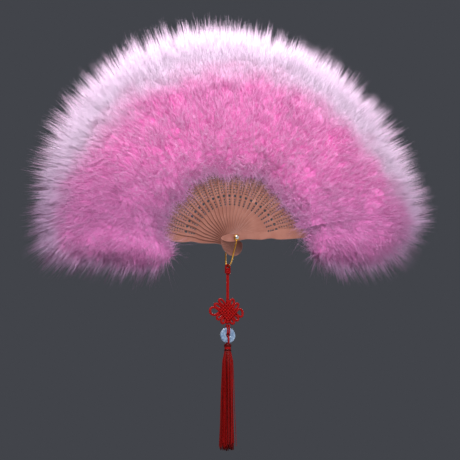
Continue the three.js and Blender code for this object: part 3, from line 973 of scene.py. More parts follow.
class LayEffect(ShaderEffect):
    """The lay of a braided cord: plump stitches that cross in two directions round it."""

    title = "braided_lay"
    inputs = {
        "Along": ("NodeSocketFloat", 0.0), "Around": ("NodeSocketVector", None),
        "Pitch": ("NodeSocketFloat", 0.003), "Starts": ("NodeSocketFloat", 3.0),
    }
    outputs = {"Height": "NodeSocketFloat"}

    def draw(self) -> None:
        """Draws two crossing sets of ridges."""
        s, start = self.sketch, self.start.outputs
        parts = s.add("ShaderNodeSeparateXYZ", {0: start["Around"]})
        turn = s.times(s.math("ARCTAN2", parts.outputs["Y"], parts.outputs["X"]), start["Starts"])
        run = s.math("DIVIDE", s.times(start["Along"], 2.0 * math.pi), start["Pitch"])
        one = s.math("ABSOLUTE", s.math("SINE", s.math("DIVIDE", s.plus(run, turn), 2.0)))
        other = s.math("ABSOLUTE", s.math("SINE", s.math("DIVIDE", s.minus(run, turn), 2.0)))
        s.feed(self.end.inputs["Height"], s.times(one, other))


class Effects:
    """The shared shader effects, built once."""

    def __init__(self) -> None:
        """Builds every effect."""
        self.mottle = MottleEffect()
        self.lay = LayEffect()


class Finish(ABC):
    """A surface finish: one material with its own Principled shader."""

    patch: float
    grain: float
    contrast: float

    def material(self, effects: Effects) -> bpy.types.Material:
        """Builds the material.

        Args:
            effects: The shared shader effects.

        Returns:
            The material.
        """
        made = bpy.data.materials.new(type(self).__name__)
        made.use_nodes = True
        made.node_tree.nodes.clear()
        sketch = NodeSketch(made.node_tree)
        shader = sketch.add("ShaderNodeBsdfPrincipled")
        sketch.add("ShaderNodeOutputMaterial", {"Surface": shader})
        self.paint(sketch, shader, effects)
        return made

    @abstractmethod
    def paint(self, s: NodeSketch, shader: Node, effects: Effects) -> None:
        """Feeds the shader.

        Args:
            s: The material's tree.
            shader: Its Principled shader.
            effects: The shared shader effects.
        """

    def mottle(self, s: NodeSketch, effects: Effects, place: Any) -> Node:
        """Puts the soft patches into the material."""
        sizes = {"Patch_Size": self.patch, "Grain_Size": self.grain, "Contrast": self.contrast}
        return effects.mottle.place(s, Place=place, **sizes)

    @staticmethod
    def place(s: NodeSketch) -> Socket:
        """Gives the Object coordinates."""
        return s.add("ShaderNodeTexCoord").outputs["Object"]

    @staticmethod
    def kept(s: NodeSketch, name: str, output: str = "Fac") -> Socket:
        """Gives a piece's own attribute."""
        return s.add("ShaderNodeAttribute", attribute_name=name, attribute_type="GEOMETRY").outputs[output]

    @staticmethod
    def bump(s: NodeSketch, shader: Node, height: Any, distance: float, strength: float = 1.0) -> None:
        """Feeds the shader's Normal from a height."""
        node = s.add("ShaderNodeBump", {"Height": height, "Distance": distance, "Strength": strength})
        s.feed(shader.inputs["Normal"], node)


@dataclass(frozen=True)
class StickPlastic(Finish):
    """Peach-coloured moulded plastic, half gloss, with painted shade that makes it warmer and darker towards
    the pivot, and painted highlights on its edges.
    """

    blade: tuple = colour(128, 75, 62)
    # Painted shade: the colour near the pivot is darker and warmer than the blade's.
    pivot: tuple = colour(114, 64, 52)
    # A lighter colour for worn patches, and for painted highlights on the sharp edges.
    rub: tuple = colour(178, 120, 102)
    roughness: float = 0.42
    pivot_reach: float = 58 * MM
    patch: float = 14 * MM
    grain: float = 0.6 * MM
    contrast: float = 0.9
    pivot_core: float = 10 * MM
    rub_patches: tuple = (0.3, 0.8)
    rub_share: float = 0.16
    # How pointy an edge must be, and how much of the lighter colour it takes as a painted highlight.
    edge_range: tuple = (0.5, 0.62)
    edge_rub: float = 0.55
    smoother: float = 0.06
    rougher: float = 0.08
    coat_roughness: float = 0.3
    relief: float = 0.02 * MM
    coat: float = 0.12

    def paint(self, s: NodeSketch, shader: Node, effects: Effects) -> None:
        """Feeds a colour that changes with the distance from the pivot as painted shade, lighter worn
        patches, painted highlights on the edges and a fine grain.
        """
        place = self.place(s)
        distance = s.vector("LENGTH", s.vector("MULTIPLY", place, (1.0, 0.0, 1.0))).outputs["Value"]
        mottle = self.mottle(s, effects, place)
        # Painted shade: the plastic darkens towards the pivot.
        tint = s.blend(s.remap(distance, self.pivot_core, self.pivot_reach), self.pivot, self.blade)
        rubbed = s.remap(mottle.outputs["Mask"], *self.rub_patches, 0.0, self.rub_share)
        tint = s.blend(rubbed, tint, self.rub)
        # Painted highlight: sharp edges take the lighter colour, as if light caught their rounded rims.
        edge = s.remap(s.add("ShaderNodeNewGeometry").outputs["Pointiness"], *self.edge_range)
        tint = s.blend(s.times(edge, self.edge_rub), tint, self.rub)
        s.feed(shader.inputs["Base Color"], tint)
        low, high = self.roughness - self.smoother, self.roughness + self.rougher
        s.feed(shader.inputs["Roughness"], s.remap(mottle.outputs["Mask"], 0.0, 1.0, low, high))
        shader.inputs["Coat Weight"].default_value = self.coat
        shader.inputs["Coat Roughness"].default_value = self.coat_roughness
        self.bump(s, shader, mottle.outputs["Grain"], self.relief)


@dataclass(frozen=True)
class FeatherDown(Finish):
    """Marabou down: deep pink roots, paler along each strand, near white at the rim; painted shade turns it
    darker and lilac low down and darkens the core between the strands.
    """

    root: tuple = colour(250, 106, 190)
    middle: tuple = colour(255, 148, 214)
    tip: tuple = colour(255, 196, 238)
    rim: tuple = colour(255, 228, 254)
    # Painted shade: lower down the fan the rim turns to the next colour, grey-lilac, and the down to the one
    # after it.
    low_rim: tuple = colour(208, 176, 210)
    low_down: tuple = colour(204, 120, 180)
    rim_from: float = 184 * MM
    rim_to: float = 240 * MM
    rim_wander: float = 16 * MM
    # How far out the rim's white moves low down, as painted shade.
    rim_lift: float = 26 * MM
    low_from: float = 130 * MM
    low_to: float = 10 * MM
    patch: float = 30 * MM
    grain: float = 1.2 * MM
    contrast: float = 1.4
    middle_way: float = 0.75
    tip_from: float = 0.5
    tip_share: float = 0.7
    patch_share: float = 0.35
    low_share: float = 0.7
    wisp_ways: tuple = (0.1, 0.7)
    core_shade: float = 0.8
    roughness: float = 0.85
    specular: float = 0.15
    sheen_roughness: float = 0.6
    sheen: float = 0.25
    softness: float = 2.5

    def paint(self, s: NodeSketch, shader: Node, effects: Effects) -> None:
        """Feeds a colour from the strand's own attributes and from its place in the fan, with painted shade
        low down and on the core.
        """
        place = self.place(s)
        flat = s.vector("MULTIPLY", place, (1.0, 0.0, 1.0))
        distance = s.vector("LENGTH", flat).outputs["Value"]
        way, tone, wisp, pale = (self.kept(s, name) for name in ("way", "tone", "wisp", "pale"))
        mottle = self.mottle(s, effects, place)
        inner = s.blend(s.remap(way, 0.0, self.middle_way), self.root, self.middle)
        inner = s.blend(s.times(s.remap(way, self.tip_from, 1.0), self.tip_share), inner, self.tip)
        inner = s.blend(s.times(mottle.outputs["Mask"], self.patch_share), inner, self.middle)
        # Painted shade: the down turns darker and lilac lower down the fan, and so does its white rim.
        height = s.part(place, "Z")
        low_shade = s.remap(height, self.low_from, self.low_to)
        inner = s.blend(s.times(low_shade, self.low_share), inner, self.low_down)
        rim = s.blend(low_shade, self.rim, self.low_rim)
        wander = s.times(s.minus(mottle.outputs["Mask"], 0.5), self.rim_wander)
        # Painted shade as well: lower down, the white rim starts farther out.
        wander = s.minus(wander, s.times(low_shade, self.rim_lift))
        whiten = s.remap(s.plus(distance, wander), self.rim_from, self.rim_to)
        tint = s.blend(s.math("MAXIMUM", whiten, s.times(pale, way)), inner, rim)
        tint = s.blend(s.times(wisp, s.remap(way, *self.wisp_ways)), tint, rim)
        # Painted shade: the core, with tone -1, is darkened to this share where it shows between the strands;
        # the strands' own tones differ at random.
        dark = s.remap(tone, -1.0, 1.0, self.core_shade, 1.0)
        shade = s.add("ShaderNodeCombineColor", {0: dark, 1: dark, 2: dark})
        tint = s.blend(1.0, tint, shade.outputs[0], "MULTIPLY")
        s.feed(shader.inputs["Base Color"], tint)
        facing = s.add(
            "ShaderNodeVectorTransform",
            {"Vector": self.kept(s, "facing", "Vector")},
            vector_type="NORMAL",
            convert_from="OBJECT",
            convert_to="WORLD",
        )
        own = s.add("ShaderNodeNewGeometry").outputs["Normal"]
        soft = s.vector("ADD", s.scaled(facing, scale=self.softness), own)
        s.feed(shader.inputs["Normal"], s.vector("NORMALIZE", soft))
        shader.inputs["Roughness"].default_value = self.roughness
        shader.inputs["Specular IOR Level"].default_value = self.specular
        shader.inputs["Sheen Weight"].default_value = self.sheen
        shader.inputs["Sheen Roughness"].default_value = self.sheen_roughness
        shader.inputs["Sheen Tint"].default_value = self.middle


@dataclass(frozen=True)
class PolishedMetal(Finish):
    """Drawn wire or a set rivet: polished metal with fine rubs."""

    tint: tuple
    shaded: tuple
    roughness: float = 0.22
    patch: float = 5 * MM
    grain: float = 0.25 * MM
    contrast: float = 1.5
    grain_range: tuple = (0.3, 0.7)
    smoother: float = 0.06
    rougher: float = 0.12
    relief: float = 0.01 * MM

    def paint(self, s: NodeSketch, shader: Node, effects: Effects) -> None:
        """Feeds a metal whose colour and roughness change in soft patches."""
        mottle = self.mottle(s, effects, self.place(s))
        s.feed(shader.inputs["Base Color"], s.blend(mottle.outputs["Mask"], self.tint, self.shaded))
        low, high = self.roughness - self.smoother, self.roughness + self.rougher
        s.feed(shader.inputs["Roughness"], s.remap(mottle.outputs["Grain"], *self.grain_range, low, high))
        shader.inputs["Metallic"].default_value = 1.0
        self.bump(s, shader, mottle.outputs["Grain"], self.relief)


@dataclass(frozen=True)
class BraidedCord(Finish):
    """Red satin cord with a round braid, and painted shade in the grooves between its stitches."""

    bright: tuple = colour(158, 2, 2)
    deep: tuple = colour(98, 1, 1)
    pitch: float = 2.4 * MM
    starts: float = 3.0
    patch: float = 6 * MM
    grain: float = 0.3 * MM
    contrast: float = 1.0
    # Painted shade: the braid heights over which the colour goes from the deep one in the grooves to the
    # bright one on the ridges.
    ridge_range: tuple = (0.05, 0.75)
    patch_share: float = 0.3
    roughness_range: tuple = (0.62, 0.42)
    specular: float = 0.1
    grain_share: float = 0.25
    relief: float = 0.12 * MM

    def paint(self, s: NodeSketch, shader: Node, effects: Effects) -> None:
        """Feeds the braid's colour, with painted shade in its grooves, and its height from the cord's own
        attributes.
        """
        lay = effects.lay.place(
            s, Along=self.kept(s, "along"), Around=self.kept(s, "around", "Vector"), Pitch=self.pitch,
            Starts=self.starts,
        )
        mottle = self.mottle(s, effects, self.place(s))
        height = lay.outputs["Height"]
        # Painted shade: the grooves between the stitches get the deep colour, the ridges the bright one.
        tint = s.blend(s.remap(height, *self.ridge_range), self.deep, self.bright)
        tint = s.blend(s.times(mottle.outputs["Mask"], self.patch_share), tint, self.deep)
        s.feed(shader.inputs["Base Color"], tint)
        s.feed(shader.inputs["Roughness"], s.remap(height, 0.0, 1.0, *self.roughness_range))
        shader.inputs["Specular IOR Level"].default_value = self.specular
        raised = s.plus(height, s.times(mottle.outputs["Grain"], self.grain_share))
        self.bump(s, shader, raised, self.relief)


@dataclass(frozen=True)
class TasselYarn(Finish):
    """Silky red yarn, each strand a little different."""

    bright: tuple = colour(136, 2, 1)
    deep: tuple = colour(46, 0, 0)
    patch: float = 9 * MM
    grain: float = 0.4 * MM
    contrast: float = 1.3
    streak_shares: tuple = (1.0, 1.0, 0.04)
    tone_range: tuple = (0.15, 0.95)
    grain_share: float = 0.35
    roughness_range: tuple = (0.34, 0.55)
    specular: float = 0.1

    def paint(self, s: NodeSketch, shader: Node, effects: Effects) -> None:
        """Feeds each strand's own tone and a silky gloss along it."""
        tone = self.kept(s, "tone")
        streaks = s.vector("MULTIPLY", self.place(s), self.streak_shares)
        mottle = self.mottle(s, effects, streaks)
        tint = s.blend(s.remap(tone, 0.0, 1.0, *self.tone_range), self.deep, self.bright)
        tint = s.blend(s.times(mottle.outputs["Grain"], self.grain_share), tint, self.deep)
        s.feed(shader.inputs["Base Color"], tint)
        gloss = s.remap(mottle.outputs["Mask"], 0.0, 1.0, *self.roughness_range)
        s.feed(shader.inputs["Roughness"], gloss)
        shader.inputs["Specular IOR Level"].default_value = self.specular


@dataclass(frozen=True)
class PaleStone(Finish):
    """Polished blue-white stone with cloudy patches."""

    pale: tuple = colour(128, 148, 170)
    blue: tuple = colour(68, 90, 120)
    patch: float = 1.6 * MM
    grain: float = 0.4 * MM
    contrast: float = 1.3
    speck_range: tuple = (0.5, 0.75)
    speck_share: float = 0.5
    roughness_range: tuple = (0.2, 0.34)
    coat: float = 0.12
    coat_roughness: float = 0.15
    relief: float = 0.03 * MM

    def paint(self, s: NodeSketch, shader: Node, effects: Effects) -> None:
        """Feeds cloudy patches and specks under a polished coat."""
        mottle = self.mottle(s, effects, self.place(s))
        tint = s.blend(mottle.outputs["Mask"], self.blue, self.pale)
        specks = s.remap(mottle.outputs["Grain"], *self.speck_range, 0.0, self.speck_share)
        tint = s.blend(specks, tint, self.pale)
        s.feed(shader.inputs["Base Color"], tint)
        gloss = s.remap(mottle.outputs["Mask"], 0.0, 1.0, *self.roughness_range)
        s.feed(shader.inputs["Roughness"], gloss)
        shader.inputs["Coat Weight"].default_value = self.coat
        shader.inputs["Coat Roughness"].default_value = self.coat_roughness
        self.bump(s, shader, mottle.outputs["Grain"], self.relief)


class Finishes:
    """Every material of the fan, built once."""

    def __init__(self) -> None:
        """Builds the shared effects and then the materials."""
        effects = Effects()
        self.plastic = StickPlastic().material(effects)
        self.down = FeatherDown().material(effects)
        self.silver = PolishedMetal(colour(226, 228, 234), colour(176, 180, 190)).material(effects)
        self.gold = PolishedMetal(
            colour(236, 184, 84), colour(196, 136, 44), roughness=0.26
        ).material(effects)
        self.cord = BraidedCord().material(effects)
        self.yarn = TasselYarn().material(effects)
        self.stone = PaleStone().material(effects)


# The fan's pieces.


@dataclass(frozen=True)
class StickNames:
    """The names that belong to one stick of the fan."""

    body: str
    stick: str
    plume: str
    joint: str


@dataclass(frozen=True)
class FanLayout:
    """Where the sticks stand. Number 0 is the back guard, on the left, and the last is the front guard."""

    staves: int = 23
    back_rise: float = math.radians(2.2)
    front_rise: float = math.radians(8.0)
    layer: float = 1.3 * MM
    guard_layer: float = 16.1 * MM

    @property
    def last(self) -> int:
        """The front guard's number."""
        return self.staves + 1

    @property
    def pitch(self) -> float:
        """The angle from one stick to the next."""
        return (math.pi - self.back_rise - self.front_rise) / self.last

    def is_guard(self, index: int) -> bool:
        """Says whether a stick is one of the two guards."""
        return index in (0, self.last)

    def angle(self, index: int) -> float:
        """Gives a stick's angle above +X."""
        return math.pi - self.back_rise - self.pitch * index

    def depth(self, index: int) -> float:
        """Gives a stick's place along Y."""
        if self.is_guard(index):
            return self.guard_layer if index == 0 else -self.guard_layer
        return (self.last / 2.0 - index) * self.layer

    def matrix(self, index: int) -> Matrix:
        """Takes a stick from its own frame to the fan.

        Args:
            index: The stick's number.

        Returns:
            The matrix from a frame with X along the stick and Z through it.
        """
        cosine, sine = math.cos(self.angle(index)), math.sin(self.angle(index))
        rows = (
            (cosine, -sine, 0.0, 0.0), (0.0, 0.0, -1.0, self.depth(index)), (sine, cosine, 0.0, 0.0),
            (0.0, 0.0, 0.0, 1.0),
        )
        return Matrix(rows)

    def names(self, index: int) -> StickNames:
        """Gives the names that belong to a stick.

        Args:
            index: The stick's number.

        Returns:
            Its body, nodes and joint.
        """
        if index == 0:
            return StickNames("back_guard", "guard_back", "plume_guard_back", "fan_fold")
        if index == self.last:
            return StickNames("front_guard", "guard_front", "plume_guard_front", "fan_fold")
        number = f"{index:02d}"
        return StickNames(f"stick_{number}", f"stave_{number}", f"plume_{number}", f"stick_{number}_turn")


def fit(piece: Object, body: str, slot: str, *nodes: str) -> Object:
    """Puts a finished piece on its body, in the place of the nodes that it stands for.

    Args:
        piece: The finished piece.
        body: The body that carries it.
        slot: The record's material slot; not used.
        *nodes: The nodes that it stands for.

    Returns:
        The same piece.
    """
    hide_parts(*nodes)
    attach(piece, body)
    LOG.info(
        "%s: %d points and %d faces on %s", piece.name, len(piece.data.vertices),
        len(piece.data.polygons), body,
    )
    return piece


@dataclass(frozen=True)
class StickShape:
    """The outline of one kind of stick, measured from the pivot."""

    blade_half: float
    thickness: float
    shoulder_at: float
    is_pierced: bool
    tail_length: float = 20.5 * MM
    tail_half: float = 5.0 * MM
    neck_at: float = 13.0 * MM
    neck_half: float = 3.0 * MM
    swell_at: float = 34.0 * MM
    swell_half: float = 4.9 * MM
    waist_at: float = 47.0 * MM
    waist_half: float = 4.2 * MM
    blade_at: float = 60.0 * MM
    shoulder_round: float = 3.0 * MM
    rib_half: float = 1.5 * MM
    rib_end: float = 200.0 * MM
    pivot_hole: float = 1.8 * MM
    tail_shares: tuple = ((0.94, 0.42), (0.62, 0.88), (0.28, 1.0), (0.0, 0.92))

    def edge(self, steps: int) -> Array:
        """Gives one edge of the stick, from the tail to the rib's end.

        Args:
            steps: How many stretches its curved part has.

        Returns:
            Rows of the place along the stick and the half width.
        """
        tail = [(-self.tail_length * along, self.tail_half * wide) for along, wide in self.tail_shares]
        between = ((self.neck_at + self.swell_at) / 2.0, (self.neck_half + self.swell_half) / 2.0)
        blade = [
            (self.neck_at, self.neck_half),
            between,
            (self.swell_at, self.swell_half),
            (self.waist_at, self.waist_half),
            (self.blade_at, self.blade_half),
            (self.shoulder_at - self.shoulder_round, self.blade_half),
        ]
        curve = smooth_path(tail + blade, steps)
        rounding = 0.3 * self.shoulder_round
        corners = [
            (self.shoulder_at - rounding, self.blade_half - rounding),
            (self.shoulder_at, self.blade_half - self.shoulder_round),
            (self.shoulder_at, self.rib_half),
            (self.rib_end, self.rib_half),
        ]
        return np.vstack([curve, corners])

    def outline(self, steps: int) -> Array:
        """Gives the whole outline.

        Args:
            steps: How many stretches the curved part of each edge has.

        Returns:
            The points of the closed outline, in the plane of the stick.
        """
        edge = self.edge(steps)
        low = edge * (1.0, -1.0)
        flat = np.vstack([[(-self.tail_length, 0.0)], low, edge[::-1]])
        return np.hstack([flat, np.zeros((len(flat), 1))])


@dataclass(frozen=True)
class Piercing:
    """The holes and slanted slots of a stave."""

    small_radius: float = 1.1 * MM
    small_at: float = 45.5 * MM
    small_pitch: float = 3.1 * MM
    small_count: int = 3
    large_radius: float = 1.75 * MM
    large_at: float = 56.5 * MM
    large_count: int = 1
    slot_at: float = 61.0 * MM
    slot_pitch: float = 3.35 * MM
    slot_rows: int = 7
    slot_length: float = 2.6 * MM
    slot_width: float = 1.35 * MM
    slot_offset: float = 1.85 * MM
    slot_slant: float = math.radians(114.0)


@dataclass
class StickSet:
    """The pierced staves and the two plain guards."""

    layout: FanLayout
    finishes: Finishes
    stave: StickShape = StickShape(5.4 * MM, 1.0 * MM, 85.0 * MM, True)
    back_guard: StickShape = StickShape(6.5 * MM, 2.0 * MM, 85.0 * MM, False)
    front_guard: StickShape = StickShape(6.5 * MM, 2.0 * MM, 97.0 * MM, False)
    piercing: Piercing = Piercing()
    edge_steps: int = 54
    hole_corners: int = 16
    rounded_edge: float = 0.22 * MM

    def plate(self, recipe: PiercedPlateRecipe, shape: StickShape, name: str) -> Object:
        """Cuts one stick in its own frame.

        Args:
            recipe: The tree that cuts it.
            shape: Its outline.
            name: Its name.

        Returns:
            The stick, with rounded edges.
        """
        turn = np.arange(self.hole_corners) * 2.0 * math.pi / self.hole_corners
        hole = np.stack(
            [shape.pivot_hole * np.cos(turn), shape.pivot_hole * np.sin(turn), np.zeros_like(turn)], 1
        )
        source = Meshes.chains(name, [(shape.outline(self.edge_steps), True), (hole, True)])
        values = {key.title(): value for key, value in vars(self.piercing).items()}
        if not shape.is_pierced:
            values.update(Small_Count=0, Large_Count=0, Slot_Rows=0)
        made = recipe.grow(source, name, self.finishes.plastic, Thickness=shape.thickness, **values)
        return Meshes.bevelled(made, self.rounded_edge)

    def build(self) -> None:
        """Cuts the three kinds of stick and sets one on every layer."""
        recipe = PiercedPlateRecipe()
        stave = self.plate(recipe, self.stave, "stave_pattern")
        for index in range(self.layout.last + 1):
            names = self.layout.names(index)
            if self.layout.is_guard(index):
                shape = self.back_guard if index == 0 else self.front_guard
                made = self.plate(recipe, shape, f"{names.stick}_seen")
            else:
                made = Meshes.copied(stave, f"{names.stick}_seen")
            Meshes.place(made, self.layout.matrix(index))
            slot = "guard_plastic" if self.layout.is_guard(index) else "stick_plastic"
            fit(made, names.body, slot, names.stick)
        bpy.data.objects.remove(stave)


@dataclass(frozen=True)
class PlumeColumn:
    """One edge of a plume's core: its turn off the stick, its inner and outer end, and its fullness."""

    turn: float
    inner: float
    outer: float
    full: float = 1.0
    hang: float = 0.0


@dataclass
class PlumeSet:
    """The down: one plume on each stick, and below the two guards the down that hangs from them."""

    layout: FanLayout
    finishes: Finishes
    inner: float = 88.0 * MM
    front_inner: float = 98.0 * MM
    side_reach: float = 266.0 * MM
    top_reach: float = 277.0 * MM
    rim_down: float = 30.0 * MM
    edge_turn: float = 0.5
    floor_wander: float = 3.5 * MM
    face_down: float = 4.5 * MM
    half_thickness: float = 30.0 * MM
    least_half: float = 3.0 * MM
    overlap: float = 1.02
    inner_wander: float = 3.0 * MM
    end_lean: float = 0.4
    leaning_plumes: float = 5.0
    lobe_inner: float = 64.0 * MM
    lobe_shoulder: float = 86.0 * MM
    lobe_drop: float = math.radians(25.6)
    lobe_floor: float = 33.0 * MM
    lobe_least: float = 80.0 * MM
    lobe_narrowest: float = 12.0 * MM
    lobe_round: float = 110.0 * MM
    lobe_columns: int = 11
    front_lobe_floor: float = 14.0 * MM
    front_lobe_inner: float = 128.0 * MM
    front_lobe_drop: float = math.radians(20.0)
    ways: tuple = (0.0, 0.05, 0.14, 0.28, 0.44, 0.6, 0.75, 0.88, 0.96)
    thick_shares: tuple = (
        (0.0, 0.17), (0.07, 0.52), (0.2, 0.84), (0.46, 1.0), (0.74, 0.94), (0.9, 0.62), (0.97, 0.26)
    )
    lobe_shares: tuple = (
        (0.09, 1.0, 1.0, 1.0),
        (0.24, 0.55, 0.95, 1.0),
        (0.46, 0.25, 0.74, 0.92),
        (0.68, 0.06, 0.52, 0.74),
        (0.86, 0.0, 0.33, 0.52),
        (1.0, 0.08, 0.16, 0.2),
    )
    front_lobe_shares: tuple = (
        (0.1, 0.7, 0.88, 1.0),
        (0.3, 0.62, 0.75, 0.98),
        (0.5, 0.58, 0.61, 0.9),
        (0.7, 0.48, 0.45, 0.76),
        (0.87, 0.31, 0.29, 0.54),
        (1.0, 0.0, 0.16, 0.22),
    )
    keep: float = 0.3
    inner_waves: tuple = ((1.0, 7.0, 0.0), (0.6, 17.0, 1.0))
    floor_waves: float = 14.0
    least_hang: float = 0.45
    hang_share: float = 0.95
    hang_aside: float = 0.35
    hang_shortens: float = 0.12
    hang_thins: float = 0.45
    rim_from: float = 0.86
    rim_lift: float = 1.2
    hidden_crowd: float = 0.1
    seeds_apart: int = 97
    rim_rows: tuple = ((0.0, -1.0), (0.05, -0.5), (0.12, 0.0), (0.85, 0.0), (1.0, 0.9))
    flow_rows: tuple = ((0.0, -0.7), (0.04, -0.1), (0.1, 0.7), (0.2, 1.0))
    reach_rows: tuple = ((0.0, 0.024), (0.1, 0.024), (0.3, 0.03), (1.0, 0.029))
    pale_rows: tuple = ((0.0, 0.3), (0.2, 0.1), (0.5, 0.0), (0.8, 0.2), (1.0, 0.8))
    facing_rows: tuple = ((0.0, 0.12), (0.2, 0.4), (0.5, 0.6), (0.9, 0.22))
    crowd_rows: tuple = ((0.0, 1.3), (0.3, 1.0), (0.8, 1.0), (1.0, 1.4))
    inner_crowd_rows: tuple = ((0.0, 1.0), (0.17, 0.7), (0.45, 0.0))
    kinds: tuple = (
        StrandKind(
            density=250000.0, radius=0.34 * MM, segments=2, length_share=0.6, lift=0.14, ruffle=1.2,
            stray=0.5, clump=0.3, clump_size=9.0 * MM, curl=0.5, paleness=0.0, raggedness=0.2,
            swirl=26.0 * MM, seed=1,
        ),
        StrandKind(
            density=140000.0, radius=0.19 * MM, segments=3, length_share=0.5, lift=0.45, ruffle=2.4,
            stray=1.3, clump=0.3, clump_size=6.0 * MM, curl=1.8, paleness=0.7, raggedness=0.3,
            swirl=10.0 * MM, seed=11,
        ),
        StrandKind(
            density=560000.0, radius=0.19 * MM, segments=1, length_share=1.1, lift=0.1, ruffle=0.8,
            stray=0.12, clump=0.92, clump_size=3.8 * MM, curl=0.0, paleness=0.8, raggedness=0.4,
            swirl=12.0 * MM, seed=21, crowd="rim_crowd",
        ),
        StrandKind(
            density=120000.0, radius=0.16 * MM, segments=3, length_share=1.05, lift=0.16, ruffle=1.2,
            stray=0.25, clump=0.3, clump_size=6.0 * MM, curl=0.4, paleness=0.8, raggedness=0.25,
            swirl=16.0 * MM, seed=41, crowd="rim_crowd",
        ),
        StrandKind(
            density=240000.0, radius=0.17 * MM, segments=3, length_share=0.9, lift=0.7, ruffle=2.2,
            stray=1.2, clump=0.1, clump_size=6.0 * MM, curl=1.8, paleness=0.5, raggedness=0.4,
            swirl=12.0 * MM, seed=31, crowd="inner_crowd",
        ),
    )

    def reach(self, angle: float) -> float:
        """Gives how far the plumes reach at an angle."""
        return self.side_reach + (self.top_reach - self.side_reach) * math.sin(angle) ** 2

    def wander(self, angle: float) -> float:
        """Gives how far the down's inner edge wanders at an angle."""
        waves = (share * math.sin(count * angle + shift) for share, count, shift in self.inner_waves)
        return self.inner_wander * sum(waves)

    def lean(self, index: int) -> float:
        """Gives how much the strands of a plume hang, which grows towards the back guard."""
        return max(0.0, self.end_lean * (1.0 - index / self.leaning_plumes))

    def columns(self, index: int) -> list[PlumeColumn]:
        """Gives the columns of one plume's core.

        Args:
            index: The stick's number.

        Returns:
            Its columns, from the higher angle to the lower one.
        """
        angle = self.layout.angle(index)
        half = self.layout.pitch / 2.0 * self.overlap
        outer = self.reach(angle) - self.rim_down
        inner = self.front_inner if index == self.layout.last else self.inner
        lean = self.lean(index)
        wedge = [
            PlumeColumn(turn, inner + self.wander(angle + turn), outer, 1.0, lean)
            for turn in (half, 0.0, -half)
        ]
        if not self.layout.is_guard(index):
            return wedge
        is_front = index == self.layout.last
        side = -1.0 if is_front else 1.0
        drop = self.front_lobe_drop if is_front else self.lobe_drop
        start = self.front_lobe_inner if is_front else self.lobe_inner
        floor = self.front_lobe_floor if is_front else self.lobe_floor
        shares = self.front_lobe_shares if is_front else self.lobe_shares
        inner_shares, outer_shares, fulls = ([(row[0], row[k]) for row in shares] for k in (1, 2, 3))
        lobe = []
        for share in np.linspace(shares[0][0], 1.0, self.lobe_columns):
            turn = side * (self.layout.pitch / 2.0 + drop * share)
            low = max(
                start + (self.lobe_shoulder - start) * interpolate(share, inner_shares), self.lobe_least
            )
            high = start + (self.reach(angle) - start) * interpolate(share, outer_shares) - self.rim_down
            fall = -math.sin(angle + turn)
            floor_here = floor + self.floor_wander * math.sin(self.floor_waves * share)
            lowest = floor_here / fall if fall > 0.0 else math.inf
            breadth = min(high, lowest) - low
            if breadth > self.lobe_narrowest:
                hang = min(1.0, self.least_hang + share)
                full = interpolate(share, fulls) * min(1.0, breadth / self.lobe_round) ** 0.5
                lobe.append(PlumeColumn(turn, low, low + breadth, full, hang))
        if side > 0.0:
            return lobe[::-1] + wedge[1:]
        return wedge[:2] + lobe

    def tilt(self, index: int, turn: float) -> float:
        """Gives how far a plume's edge leans to its neighbour's layer, so that no step shows between them.

        Args:
            index: The stick's number.
            turn: The angle off the stick.

        Returns:
            The edge's place along Y, off the stick's own.
        """
        half = self.layout.pitch / 2.0
        share = max(-1.0, min(1.0, turn / half))
        if not self.layout.is_guard(index):
            return share * self.layout.layer / 2.0
        edge = self.layout.depth(1) + self.layout.layer / 2.0 - self.layout.depth(0)
        if index == 0:
            return edge * max(0.0, -share)
        return -edge * max(0.0, share)

    def core(self, index: int, name: str) -> Object:
        """Lofts the core that a plume's strands stand on.

        Args:
            index: The stick's number.
            name: The object's name.

        Returns:
            The core, with the flow, reach and crowd of its strands.
        """
        columns = self.columns(index)
        depth = self.layout.depth(index)
        is_guard = self.layout.is_guard(index)
        open_column = 0 if index == 0 else len(columns) - 1
        ways = list(self.ways) + [1.0] + list(self.ways[::-1])
        count = len(ways)
        tip = len(self.ways)
        points, flows, outs, reaches, pales, facings = [], [], [], [], [], []
        for c, column in enumerate(columns):
            angle = self.layout.angle(index) + column.turn
            aside = np.array((-math.sin(angle), 0.0, math.cos(angle))) * (1.0 if index == 0 else -1.0)
            bare = self.edge_turn * max(0.0, 1.0 - abs(c - open_column) / 2.0) if is_guard else 0.0
            radial = np.array((math.cos(angle), 0.0, math.sin(angle)))
            tilt = self.tilt(index, column.turn)
            hanging = column.hang * self.hang_share
            flow = radial * (1.0 - hanging) + np.array((self.hang_aside * radial[0], 0.0, -1.0)) * hanging
            first = len(points)
            for k, way in enumerate(ways):
                side = 0.0 if k == tip else (-1.0 if k < tip else 1.0)
                full = self.half_thickness * interpolate(way, self.thick_shares) * column.full
                half = max(self.least_half, full - self.face_down)
                radius = column.inner + (column.outer - column.inner) * way
                points.append(radial * radius + np.array((0.0, depth + tilt + side * half, 0.0)))
                rim = interpolate(way, self.rim_rows)
                outs.append(np.array((0.0, side, 0.0)) + radial * rim * self.rim_lift)
                flows.append(flow * interpolate(way, self.flow_rows))
                reaches.append(
                    interpolate(way, self.reach_rows) * (1.0 - self.hang_shortens * column.hang)
                )
                pales.append(interpolate(way, self.pale_rows))
            for k in range(count):
                along = points[first + (k + 1) % count] - points[first + (k - 1) % count]
                sideways = interpolate(ways[k], self.facing_rows)
                facing = radial * along[1] * sideways - np.array((0.0, along @ radial, 0.0))
                facings.append(facing / np.linalg.norm(facing) + aside * bare)
        faces, crowd, rim_crowd, inner_crowd = [], [], [], []
        for c in range(len(columns) - 1):
            low, high = c * count, (c + 1) * count
            for k in range(count):
                after = (k + 1) % count
                faces.append((low + k, low + after, high + after, high + k))
                way = (ways[k] + ways[after]) / 2.0
